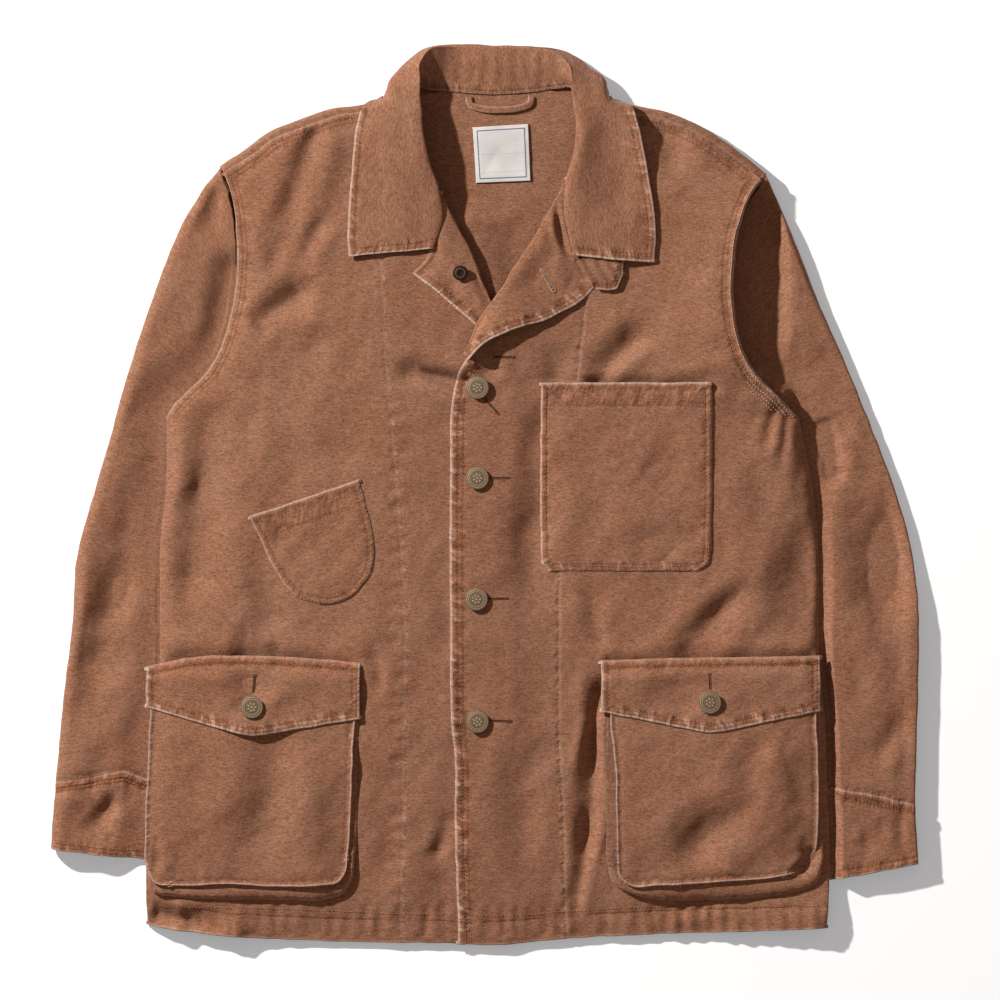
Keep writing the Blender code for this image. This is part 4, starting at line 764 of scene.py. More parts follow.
def canvas_material(name, base=CANVAS_BASE, worn=1.0):
    """Washed canvas: streaks of the weft, slubs, grain, pale worn edges, reddish and puckered beside the stitching."""
    m = Tree(name)
    grain = m.attribute("grain", True)
    gx, gy, _ = m.split(grain)
    band = m.attribute("band", True)  # along a seam or an edge, distance from it, strength of its puckers
    s, d, amount = m.split(band)
    rows = m.attribute("rows", True)  # distances of the rows of stitches from it, and how pale its edge is
    row_a, row_b, pale = m.split(rows)
    red = m.attribute("red")
    tone = m.attribute("tone")
    gate = m.attribute("gate")  # nothing follows a line where two of them meet
    # Puckers between the edge and past the stitches.
    pucker_at = m.combine(m.math("MULTIPLY_ADD", m.math("MULTIPLY_ADD", d, 0.28, s), 1 / 0.0064, 3.0), m.math("MULTIPLY", d, 1 / 0.016), 0.0)
    pucker = m.noise(pucker_at, 1.0, 2.0, 0.6, 2.0)
    pucker = m.step(pucker, 0.28, 0.72, -1.0, 1.0, False)
    reach = m.math("ADD", m.math("MAXIMUM", row_a, row_b), 0.0045)
    window = m.math("MULTIPLY", m.math("MULTIPLY", m.step(m.math("DIVIDE", d, reach), 0.60, 1.20, 1.0, 0.0), amount), gate)
    # The grooves of the stitch rows: a dent in the bump, and painted shade in the colour.
    groove = None
    for row in (row_a, row_b):
        q = m.math("DIVIDE", m.math("SUBTRACT", d, row), 0.0009)
        g = m.math("EXPONENT", m.math("MULTIPLY", m.math("MULTIPLY", q, q), -1.0))
        g = m.math("MULTIPLY", g, m.step(row, 0.0005, 0.001))
        groove = g if groove is None else m.math("ADD", groove, g)
    # Weave.
    weft = m.noise(m.combine(m.math("MULTIPLY", gx, 1 / 0.0036), m.math("MULTIPLY", gy, 1 / 0.00085)), 1.0, 2.0, 0.6, 0.5)
    weft = m.step(weft, 0.3, 0.7, -1.0, 1.0, False)
    cell = m.noise(m.combine(m.math("MULTIPLY", gx, 1 / 0.00115), m.math("MULTIPLY", gy, 1 / 0.00085)), 1.0, 2.0, 0.6, 7.5)
    cell = m.step(cell, 0.3, 0.7, -1.0, 1.0, False)
    slub = m.noise(m.combine(m.math("MULTIPLY", gx, 1 / 0.022), m.math("MULTIPLY", gy, 1 / 0.0014)), 1.0, 1.0, 0.5, 4.0)
    slub = m.step(slub, 0.66, 0.78)
    broad = m.noise(grain, 14.0, 3.0, 0.55, 9.0)
    broad = m.step(broad, 0.3, 0.7, -1.0, 1.0, False)
    blotch = m.noise(grain, 130.0, 3.0, 0.6, 12.0)
    blotch = m.step(blotch, 0.3, 0.7, -1.0, 1.0, False)
    level = m.math("MULTIPLY_ADD", weft, 0.31, 1.0)
    level = m.math("MULTIPLY_ADD", cell, 0.33, level)
    level = m.math("MULTIPLY_ADD", slub, 0.15, level)
    fleck = m.step(m.noise(m.combine(m.math("MULTIPLY", gx, 1 / 0.0013), m.math("MULTIPLY", gy, 1 / 0.0008)), 1.0, 1.0, 0.5, 15.0), 0.60, 0.72)
    level = m.math("MULTIPLY_ADD", fleck, 0.32, level)
    level = m.math("SUBTRACT", level, 0.035)
    level = m.math("MULTIPLY_ADD", broad, 0.045, level)
    level = m.math("MULTIPLY_ADD", blotch, 0.055, level)
    level = m.math("MULTIPLY_ADD", m.math("MULTIPLY", pucker, window), 0.36, level)
    # Painted shade: the colour is darker in the grooves of the stitch rows.
    level = m.math("MULTIPLY_ADD", m.math("MULTIPLY", groove, gate), -0.17, level)
    # The tone attribute scales the colour; on the centre parts and on one side of each pocket's gusset it carries
    # painted shade.
    level = m.math("MULTIPLY", level, tone)
    hue = m.mix(m.step(m.math("ADD", broad, blotch), -1.6, 1.6), (base[0] * 1.03, base[1] * 0.95, base[2] * 0.90, 1), (base[0] * 0.97, base[1] * 1.05, base[2] * 1.10, 1))
    # The hollows of the weave keep more of the dye.
    hue = m.mix(m.step(m.math("ADD", cell, weft), -1.2, 0.3, 0.75, 0.0), hue, (base[0] * 1.08, base[1] * 0.88, base[2] * 0.72, 1))
    # Less washed out beside the stitches, where the layers are thick.
    near_rows = m.math("MULTIPLY", m.step(d, 0.0008, 0.002), m.step(m.math("SUBTRACT", d, m.math("MAXIMUM", row_a, row_b)), 0.0, 0.004, 1.0, 0.0))
    reddish = m.math("MULTIPLY", near_rows, red)
    patchy = m.noise(m.combine(m.math("MULTIPLY", s, 1 / 0.011), m.math("MULTIPLY", d, 1 / 0.006)), 1.0, 2.0, 0.6, 5.0)
    hue = m.mix(m.math("MULTIPLY", reddish, m.step(patchy, 0.25, 0.7, 0.45, 1.0)), hue, (base[0] * 0.95, base[1] * 0.74, base[2] * 0.54, 1))
    colour = m.scaled(hue, level)
    # Worn pale: the very edge and the crests of its puckers.
    edge = m.math("MULTIPLY", m.step(d, 0.0005, 0.0017, 1.0, 0.0), m.step(m.noise(m.combine(m.math("MULTIPLY", s, 1 / 0.005), 0.0), 1.0, 3.0, 0.7, 6.0), 0.30, 0.60, 0.35, 1.0))
    crest = m.math("MULTIPLY", m.step(m.math("MULTIPLY", pucker, window), 0.10, 0.9, 0.0, 0.46), m.step(d, 0.001, 0.010, 1.0, 0.25))
    worn_off = m.math("MULTIPLY", m.math("ADD", m.math("MULTIPLY", edge, 0.66), crest, clamp=True), m.math("MULTIPLY", pale, worn), clamp=True)
    colour = m.mix(worn_off, colour, (0.55, 0.40, 0.33, 1))
    height = m.math("MULTIPLY", weft, 0.00004)
    height = m.math("MULTIPLY_ADD", cell, 0.000045, height)
    height = m.math("MULTIPLY_ADD", slub, 0.00006, height)
    crumple = m.noise(grain, 120.0, 3.0, 0.6, 21.0)
    height = m.math("MULTIPLY_ADD", crumple, 0.00024, height)
    height = m.math("MULTIPLY_ADD", m.math("MULTIPLY", pucker, window), 0.00056, height)
    height = m.math("MULTIPLY_ADD", m.math("MULTIPLY", groove, gate), -0.00022, height)
    return m.finish(colour, m.bump(height), 0.88, 0.0, 0.12, 0.2)


# ---------------------------------------------------------------- shells

SHELLS, MADE = {}, []


class Line:
    """A seam or an edge: rows are the distances of its stitch rows, amount the strength of its puckers, pale how worn it is."""

    def __init__(self, path, rows=(), amount=1.0, pale=1.0, red=0.6, groove=0.0, reach=30.0, only=None):
        self.only = only
        self.path, self.rows, self.amount, self.pale, self.red, self.groove, self.reach = path, (tuple(rows) + (0, 0))[:2], amount, pale, red, groove, reach


def mesh_from(name, verts, quads, smooth_faces=True):
    mesh = bpy.data.meshes.new(name)
    mesh.vertices.add(len(verts))
    mesh.vertices.foreach_set("co", np.asarray(verts, np.float32).ravel())
    mesh.loops.add(quads.size)
    mesh.loops.foreach_set("vertex_index", quads.astype(np.int32).ravel())
    mesh.polygons.add(len(quads))
    mesh.polygons.foreach_set("loop_start", np.arange(0, quads.size, quads.shape[1], dtype=np.int32))
    mesh.polygons.foreach_set("use_smooth", np.full(len(quads), smooth_faces))
    mesh.update(calc_edges=True)
    mesh.validate()
    thing = bpy.data.objects.new(name, mesh)
    bpy.context.scene.collection.objects.link(thing)
    return thing


def grid_quads(nu, nv):
    i, j = np.meshgrid(np.arange(nu - 1), np.arange(nv - 1), indexing="ij")
    a = i * nv + j
    return np.stack([a, a + nv, a + nv + 1, a + 1], -1).reshape(-1, 4)


def lip(net, sides, drop=1.4, tuck=2.5):
    """Rolls the net's edges over and under, as a turned-in edge that thick."""
    profile = np.array([(0.22, -0.04), (0.42, -0.20), (0.50, -0.5), (0.42, -0.80), (0.18, -0.97), (-0.3, -1.0), (-1.0, -1.0)])
    before = {"l": 0, "r": 0, "b": 0, "t": 0}
    for side in sides:
        flip = side in "rt"
        axis = 0 if side in "lr" else 1
        n = net.swapaxes(0, axis)
        n = n[::-1] if flip else n
        out = n[0] - n[1]
        out /= np.maximum(np.linalg.norm(out, axis=1, keepdims=True), 1e-9)
        way = np.gradient(n[0], axis=0)
        way /= np.maximum(np.linalg.norm(way, axis=1, keepdims=True), 1e-9)
        down = np.cross(out, way)
        down /= np.maximum(np.linalg.norm(down, axis=1, keepdims=True), 1e-9)
        down *= np.where(down[:, 2:] > 0, -1.0, 1.0)
        extra = [n[0] + out * (a * drop if a > -1 else -tuck) + down * (-b * drop) * 1.0 for a, b in profile]
        n = np.concatenate([np.array(extra)[::-1], n])
        before[side] = len(profile)
        n = n[::-1] if flip else n
        net = n.swapaxes(0, axis)
    return net, before


def shell(name, node, net, lines=(), grain=None, sides="", drop=1.4, tuck=2.5, tone=1.0, material=None, no_warp=False, tube=False, double=False):
    """A fine shell in place of one CAD solid. The net is in millimetres."""
    xy = net[..., :2]
    nu, nv = xy.shape[:2]
    grain = (xy if grain is None else grain).astype(float)
    band, rows, red = np.zeros((nu, nv, 3)), np.zeros((nu, nv, 3)), np.zeros((nu, nv))
    band[..., 1] = 60.0
    nearest, which, lines = np.full((nu, nv), 1e9), np.full((nu, nv), -1), list(lines)
    for one in lines:
        d, s, _ = near(xy, one.path, one.reach)
        if one.only is not None:
            d = np.where(one.only, d, 900.0)
        hit = d < nearest
        which = np.where(hit, lines.index(one), which)
        nearest = np.where(hit, d, nearest)
        found = ((band, 0, s + 1000 * len(one.path)), (band, 1, np.minimum(d, 60)), (band, 2, one.amount), (rows, 0, one.rows[0]), (rows, 1, one.rows[1]), (rows, 2, one.pale))
        for where, k, value in found:
            where[..., k] = np.where(hit, value, where[..., k])
        red = np.where(hit, one.red, red)
        if one.groove:
            net = net.copy()
            net[..., 2] -= one.groove * np.exp(-((d / 1.6) ** 2))
    if not no_warp:
        net = np.concatenate([warped(xy), net[..., 2:]], -1)
    net[..., 2] = np.maximum(net[..., 2], 0.15)
    # Where the nearest line changes, its marks stop.
    same = np.ones((nu, nv), bool)
    same[1:] &= which[1:] == which[:-1]
    same[:-1] &= which[1:] == which[:-1]
    same[:, 1:] &= which[:, 1:] == which[:, :-1]
    same[:, :-1] &= which[:, 1:] == which[:, :-1]
    gate = same.astype(float)
    tone = np.broadcast_to(np.asarray(tone, float), (nu, nv))
    pad = [(0, 0), (0, 0)]
    if sides:
        net, extra = lip(net, sides, drop, tuck)
        pad = [(extra["l"], extra["r"]), (extra["b"], extra["t"])]
    net[..., 2] = np.maximum(net[..., 2], 0.0)
    more = lambda a: np.pad(a, pad + [(0, 0)] * (a.ndim - 2), mode="edge")
    grain, band, rows, red, tone, gate = more(grain), more(band), more(rows), more(red), more(tone), more(gate)
    nu, nv = net.shape[:2]
    quads = grid_quads(nu, nv)
    normal_z = np.cross(net[1:, :-1] - net[:-1, :-1], net[:-1, 1:] - net[:-1, :-1])[..., 2].sum()
    if normal_z < 0 and not tube:
        quads = quads[:, ::-1]
    thing = mesh_from(name, net.reshape(-1, 3) * MM, quads)
    mesh = thing.data
    flat = lambda a, k: np.concatenate([a.reshape(-1, a.shape[-1]), np.zeros((nu * nv, k - a.shape[-1]))], 1).astype(np.float32).ravel()
    for label, data in (("grain", flat(grain, 3) * MM), ("band", flat(band * [MM, MM, 1], 3)), ("rows", flat(rows * [MM, MM, 1], 3))):
        mesh.attributes.new(label, "FLOAT_VECTOR", "POINT").data.foreach_set("vector", data)
    for label, data in (("red", red), ("tone", tone), ("gate", gate)):
        mesh.attributes.new(label, "FLOAT", "POINT").data.foreach_set("value", data.astype(np.float32).ravel())
    mesh.materials.append(material or CANVAS_LOOK)
    ride(thing, "canvas", node)
    SHELLS[name] = (thing, net, quads)
    return thing


def ride(thing, slot, *nodes):
    for node in nodes:
        if node:
            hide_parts(node)
    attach(thing, "root")
    MADE.append(thing)


def clustered(whole, gap, first=True, last=True, small=(0, 0.5, 1.1, 1.9, 2.9, 4.1, 5.5, 7.2)):
    """Shares of a length, closer together at its ends."""
    small = np.array(small)
    a = small if first else np.array([0.0])
    b = whole - small[::-1] if last else np.array([whole])
    n = max(2, int((b[0] - a[-1]) / gap))
    return np.concatenate([a[:-1], np.linspace(a[-1], b[0], n), b[1:]]) / whole


def spline_at(points, index):
    """A smooth line through points at places counted in points."""
    step = np.maximum(np.linalg.norm(np.diff(points, axis=0), axis=1), 1e-6)
    at = np.concatenate([[0], np.cumsum(step)])
    slope = np.diff(points, axis=0) / step[:, None]
    middle = (slope[:-1] * step[1:, None] + slope[1:] * step[:-1, None]) / (step[:-1] + step[1:])[:, None]
    tangent = np.concatenate([slope[:1], middle, slope[-1:]])
    i = np.clip(index.astype(int), 0, len(step) - 1)
    w = (index - i)[:, None]
    h = step[i][:, None]
    return (2 * w**3 - 3 * w**2 + 1) * points[i] + (w**3 - 2 * w**2 + w) * h * tangent[i] + (3 * w**2 - 2 * w**3) * points[i + 1] + (w**3 - w**2) * h * tangent[i + 1]


def refine(net, ui, vi):
    net = np.stack([spline_at(net[:, j], ui) for j in range(net.shape[1])], 1)
    return np.stack([spline_at(net[i], vi) for i in range(net.shape[0])], 0)


def counts(steps):
    """Places between points, that many for each stretch."""
    found = [np.linspace(i, i + 1, n, endpoint=False) for i, n in enumerate(steps)]
    return np.append(np.concatenate(found), len(steps))


CANVAS_LOOK = canvas_material("washed_canvas")


# ---------------------------------------------------------------- body

HIDE_SEAM = 0.35  # the side parts lie a little over the centre parts
side_line_r, side_line_l = sampled(side_right), sampled(side_left)
arm_line_r, arm_line_l = sampled(arm_right), sampled(arm_left)
hem_line = sampled(hem)
seam_right, seam_left = spline(SEAM_RIGHT), spline(SEAM_LEFT)
seam_line_r, seam_line_l = sampled(seam_right), sampled(seam_left)
shoulder_line_r, shoulder_line_l = sampled(forward_right), sampled(forward_left)
edge_over, edge_under = spline(EDGE_OVER), spline(EDGE_UNDER)
neck_left, neck_right = spline(NECK_LEFT), spline(NECK_RIGHT)
ARM = dict(rows=(5.6, 9.2), amount=0.7, pale=0.35, red=0.35)
HEM_EDGE = dict(rows=(19.5, 0), amount=0.22, pale=0.45, red=0.15)
SHOULDER_SEAM = dict(rows=(5.0, 9.0), amount=0.7, pale=0.3, red=0.4)


def front_top(xy):
    return front_height(xy) + look(BODY, xy) * (0.35 + 0.65 * smooth(look(FRONT_RING, xy, 2.0) / 12))


def over_top(xy):
    return over_height(xy) + look(BODY, xy) * 0.9


def fine_rows(whole=745.0, gap=2.2):
    return clustered(whole, gap, True, True, (0, 0.6, 1.4, 2.4, 3.6, 5.2, 7.0))


# The hem band hangs a little fuller than the cloth above its stitches.
def hem_band(net):
    d, _, _ = near(net[..., :2], hem_line, 60)
    net[..., 2] += 0.5 * np.exp(-(((d - 9) / 7.5) ** 2)) - 0.35 * np.exp(-(((d - 18.5) / 2.2) ** 2))
    x = net[..., 0] / 0.88 + 484.5
    lies = np.interp(x, [150, 166, 180, 235, 262, 330, 420, 520, 700, 770, 815, 830], [0.6, -0.2, -0.7, -0.7, 0.6, 1.0, 0.7, 0.6, 1.0, 0.2, -0.6, -0.4])
    net[..., 2] -= 3.4 * lies * (1 - smooth(d / 34))
    return net


def side_shell(side):
    right = side < 0
    seam, flank, shoulder = (seam_right, flank_right, forward_right) if right else (seam_left, flank_left, forward_left)
    hem_share, shoulder_share = (0.372, 0.845) if right else (0.622, 0.90)
    flank = ending(flank, shoulder(0.0))
    width = 205.0
    rows = fine_rows()
    if right:
        across = clustered(width, 2.15, True, True)
        flat = patch_at(part_of(hem, 0, hem_share), part_of(shoulder, 0, shoulder_share), flank, moved(seam, HIDE_SEAM), across, rows)
    else:
        across = 1 - clustered(width, 2.15, True, True)[::-1]
        flat = patch_at(part_of(hem, hem_share, 1), lambda t: shoulder(shoulder_share * (1 - np.asarray(t, float))), moved(seam, -HIDE_SEAM), flank, across, rows)
    net = hem_band(np.concatenate([flat, front_top(flat)[..., None]], -1))
    arm, side_line, shoulder_line = (arm_line_r, side_line_r, shoulder_line_r) if right else (arm_line_l, side_line_l, shoulder_line_l)
    seam_line = seam_line_r if right else seam_line_l
    lines = [
        Line(arm, **ARM), Line(side_line, (), 0.25, 0.12, 0.3), Line(shoulder_line, **SHOULDER_SEAM),
        Line(hem_line, **HEM_EDGE, reach=40), Line(seam_line, (), 0.35, 0.22, 0.2, groove=0.25),
    ]
    # The seam beside the armhole is a thick band, and its stitch rows pull it in.
    d, s, _ = near(net[..., :2], arm, 30)
    if not right:
        net[..., 0] += 2.3 * np.exp(-((d / 2.6) ** 2)) * smooth((net[..., 1] - 75) / 30) * smooth((272 - net[..., 1]) / 20)
        beside_d, _, _ = near(net[..., :2], side_line_l, 30)
        net[..., 2] -= 2.2 * (1 - smooth(beside_d / 12)) * smooth((70 - net[..., 1]) / 40) * smooth((net[..., 1] + 150) / 40)
    net[..., 2] += (0.5 if right else 1.9) * np.exp(-(((d - 2.2) / 2.4) ** 2)) - 0.3 * np.exp(-(((d - 7.2) / 2.4) ** 2))
    d, _, _ = near(net[..., :2], shoulder_line, 30)
    net[..., 2] += 0.35 * np.exp(-(((d - 2.8) / 2.2) ** 2)) - 0.25 * np.exp(-(((d - 7.0) / 2.6) ** 2))
    name = "front_side_right" if right else "front_side_left"
    sides = ("lbt" if right else "rbt")
    return shell(f"{name}_cloth", name, net, lines, None, sides, 1.5, 2.0)


def centre_shell(side):
    right = side < 0
    seam, edge, neck, hem_shares, height = (seam_right, edge_under, neck_right, (0.373, 0.517), front_top) if right else (seam_left, edge_over, neck_left, (0.458, 0.6215), over_top)
    outer = chain(edge, neck)
    rows = fine_rows(745, 2.2)
    if right:
        across = clustered(95, 2.1, True, True, (0, 0.7, 1.6, 2.8))
        flat = patch_at(part_of(hem, *hem_shares), line(seam(1.0), neck(1.0)), moved(seam, -0.4), outer, across, rows)
    else:
        across = clustered(98, 2.1, True, True, (0, 0.5, 1.1, 1.9, 2.9, 4.1, 5.5))
        flat = patch_at(part_of(hem, *hem_shares), line(neck(1.0), seam(1.0)), outer, moved(seam, 0.4), across, rows)
    net = hem_band(np.concatenate([flat, height(flat)[..., None]], -1))
    seam_line = seam_line_r if right else seam_line_l
    d, _, _ = near(net[..., :2], seam_line, 30)
    net[..., 2] -= 0.45 * (1 - smooth(d / 4.5))
    lines = [Line(hem_line, **HEM_EDGE, reach=40), Line(seam_line, (), 1.0, 0.5, 0.4)]
    shoulder_line = shoulder_line_r if right else shoulder_line_l
    lines.append(Line(shoulder_line, **SHOULDER_SEAM))
    if not right:
        edge_line = sampled(edge_over)
        lines.append(Line(edge_line, (5.8, 10.4), 1.2, 1.1, 0.8, only=flat[..., 1] < 118))
        d, _, _ = near(net[..., :2], edge_line, 30)
        net[..., 2] += 0.35 * np.exp(-(((d - 3.0) / 2.2) ** 2)) - 0.22 * np.exp(-(((d - 8.0) / 3.0) ** 2))
    name = "front_centre_right" if right else "front_centre_left"
    # Painted shade: the centre parts are coloured a little darker, standing in for the shade beside the placket.
    tone = 0.945 if right else 0.95
    return shell(f"{name}_cloth", name, net, lines, None, ("rb" if right else "lb"), 1.5 if right else 2.0, 2.5, tone)


def back_shell():
    radius = (SHOULDER_RISE - FLOOR) / 2
    over_r, over_l = inward(shoulder_right, radius), inward(shoulder_left, -radius)
    neck = line(over_r(1.0), over_l(1.0))

    def neck_arc(t):
        return neck(t) + np.stack([0 * t, 9 * np.sin(np.pi * t)], -1)

    def top(t):
        t = np.asarray(t, float)
        r, m, l = over_r(np.clip(t / 0.36, 0, 1)), neck_arc(np.clip((t - 0.36) / 0.28, 0, 1)), over_l(np.clip((1 - t) / 0.36, 0, 1))
        return np.where((t < 0.36)[..., None], r, np.where((t > 0.64)[..., None], l, m))

    across = np.concatenate([clustered(1000, 7.5, True, True, (0, 1.0, 3.0, 6.0))])
    across = np.sort(np.unique(np.concatenate([across[::1], np.linspace(0.40, 0.60, 60)])))
    rows = np.concatenate([np.array([0, 0.0008, 0.002, 0.004, 0.007]), np.linspace(0.012, 0.83, 120)[:-1], np.linspace(0.83, 1, 62)])
    flat = patch_at(moved(hem, 0, 1.5), top, ending(flank_right, top(0.0)), ending(flank_left, top(1.0)), across, rows)
    z = back_height(flat) + look(BACK, flat)
    body = np.concatenate([flat, np.maximum(z, FLOOR)[..., None]], -1)
    shoulder = 1 - smooth((across - 0.28) / 0.08) + smooth((across - 0.64) / 0.08)
    way = top(np.minimum(across + 2e-3, 1)) - top(np.maximum(across - 2e-3, 0))
    way /= np.linalg.norm(way, axis=1, keepdims=True)
    out = np.stack([-way[:, 1], way[:, 0]], 1)
    extra, base = [], body[:, -1]
    turns = [(a, 0.0, 0.0) for a in range(12, 181, 12)] + [(180, (SHOULDER_FORWARD - radius - 0.9) * k / 2, 0.0) for k in (1, 2)] + [(180, SHOULDER_FORWARD - radius + 0.5, -0.35), (180, SHOULDER_FORWARD - radius + 2.0, -0.8)]
    for turn, ahead, lower in turns:
        a = math.radians(turn)
        r = (SHOULDER_RISE - base[:, 2]) / 2
        rolled = np.concatenate([out * (r * math.sin(a) - ahead)[:, None], (r * (1 - math.cos(a)) + lower)[:, None]], 1)
        tucked = np.concatenate([out * (3.5 * turn / 180), np.zeros((len(r), 1))], 1)
        extra.append(base + shoulder[:, None] * rolled + (1 - shoulder)[:, None] * tucked)
    net = np.concatenate([body, np.stack(extra, 1)], 1)
    lines = [Line(sampled(moved(hem, 0, 1.5)), (19.5, 0), 0.7, 0.5, 0.3, reach=40), Line(side_line_r, (), 0.3, 0.1, 0.3), Line(side_line_l, (), 0.3, 0.1, 0.3)]
    lines += [Line(shoulder_line_r, (), 0.5, 0.35, 0.3), Line(shoulder_line_l, (), 0.5, 0.35, 0.3)]
    return shell("back_panel_cloth", "back_panel", net, lines, None, "b", 1.1, 2.0, 0.97)


# ---------------------------------------------------------------- lapels and collar


def lapel_shell(side):
    right = side < 0
    roll, edge, top, height = (
        (spline(LAPEL_RIGHT_ROLL), spline(LAPEL_RIGHT_EDGE), spline(LAPEL_RIGHT_TOP), front_height) if right
        else (spline(LAPEL_LEFT_ROLL), spline(LAPEL_LEFT_EDGE), spline(LAPEL_LEFT_TOP), over_height)
    )
    along = clustered(120, 1.7, True, True, (0, 0.5, 1.2, 2.2))
    flat = patch_at(line(roll(0.0), edge(0.0)), top, roll, edge, np.linspace(0, 1, 6), along)
    fold, inner = flat[0], flat[1] - flat[0]
    inner /= np.maximum(np.linalg.norm(inner, axis=1, keepdims=True), 1e-6)
    rows, soft = [], smooth(along / 0.45)
    for depth, low, high in ((9, -1.7, -1.8), (2.8, -1.7, -1.9), (0.7, -1.1, -1.3), (0.0, 0.1, 0.9), (0.7, 1.3, 2.8), (3.2, 1.7, 3.6)):
        rise = low + (high - low) * soft
        rows.append(np.concatenate([fold + inner * depth, (height(fold + inner * depth) + rise)[:, None]], 1))
    for i, high in ((2, 3.0), (3, 3.0), (4, 3.0), (5, 2.8)) if right else ((2, 3.4), (3, 4.4), (4, 5.0), (5, 5.4)):
        rise = 1.8 + (high * (1 if right else 2.1 - 1.4 * smooth(along / 0.8)) - 1.8) * smooth(along / (0.22 if right else 0.07))
        rows.append(np.concatenate([flat[i], (height(flat[i]) + rise)[:, None]], 1))
    net = np.stack(rows)
    if right:
        net[:6, :, 2] -= 3.6 * smooth(along / 0.3)
    # Its top goes on, flat, under the leaf of the collar.
    under = (1 - 0.78 * smooth((along - 0.80) / 0.16))[None]
    ground = height(net[..., :2])
    net[..., 2] = ground + np.where(net[..., 2] > ground, (net[..., 2] - ground) * under, (net[..., 2] - ground) * under)
    ui = counts((4, 3, 3, 3, 3, 7, 7, 7, 7))
    ui = np.append(ui[:-1], [8.55, 8.75, 8.88, 8.95, 9.0]) if ui[-2] < 8.5 else np.concatenate([ui[ui < 8.5], [8.55, 8.7, 8.82, 8.9, 8.96, 9.0]])
    net = np.stack([spline_at(net[:, j], ui) for j in range(net.shape[1])], 1)
    edge_line, top_line, roll_line = sampled(edge, 2.0), sampled(top, 2.0), sampled(roll, 2.0)
    d_roll, _, side_of = near(net[..., :2], roll_line, 120)
    upper = (ui >= 4)[:, None]
    d, _, _ = near(net[..., :2], edge_line, 60)
    net[..., 2] += np.where(upper, look(COLLAR_FOLDS, net[..., :2]) * smooth(d_roll / 6) + 0.35 * np.exp(-(((d - 2.8) / 2.0) ** 2)) - 0.25 * np.exp(-(((d - 5.4) / 1.6) ** 2)), 0)
    d, _, _ = near(net[..., :2], top_line, 60)
    lines = [Line(edge_line, (5.3, 0), 1.2, 1.5, 0.6), Line(top_line, (3.5, 0), 0.7, 0.5, 0.7)]
    # The facing is thick along its edge.
    name = "facing_right" if right else "facing_left"
    return shell(f"{name}_cloth", name, net, lines, None, "rt" + "b", 1.7, 2.5, 1.0)


LEAF_LEFT = P((353, 257), (349, 249), (350, 225), (352, 195), (355, 151), (361, 117), (367, 102), (383, 86), (405, 69), (420, 57))
LEAF_RIGHT = P((657, 262), (655, 247), (651, 214), (646, 177), (639, 143), (632, 117), (626, 101), (611, 88), (589, 73), (570, 59))


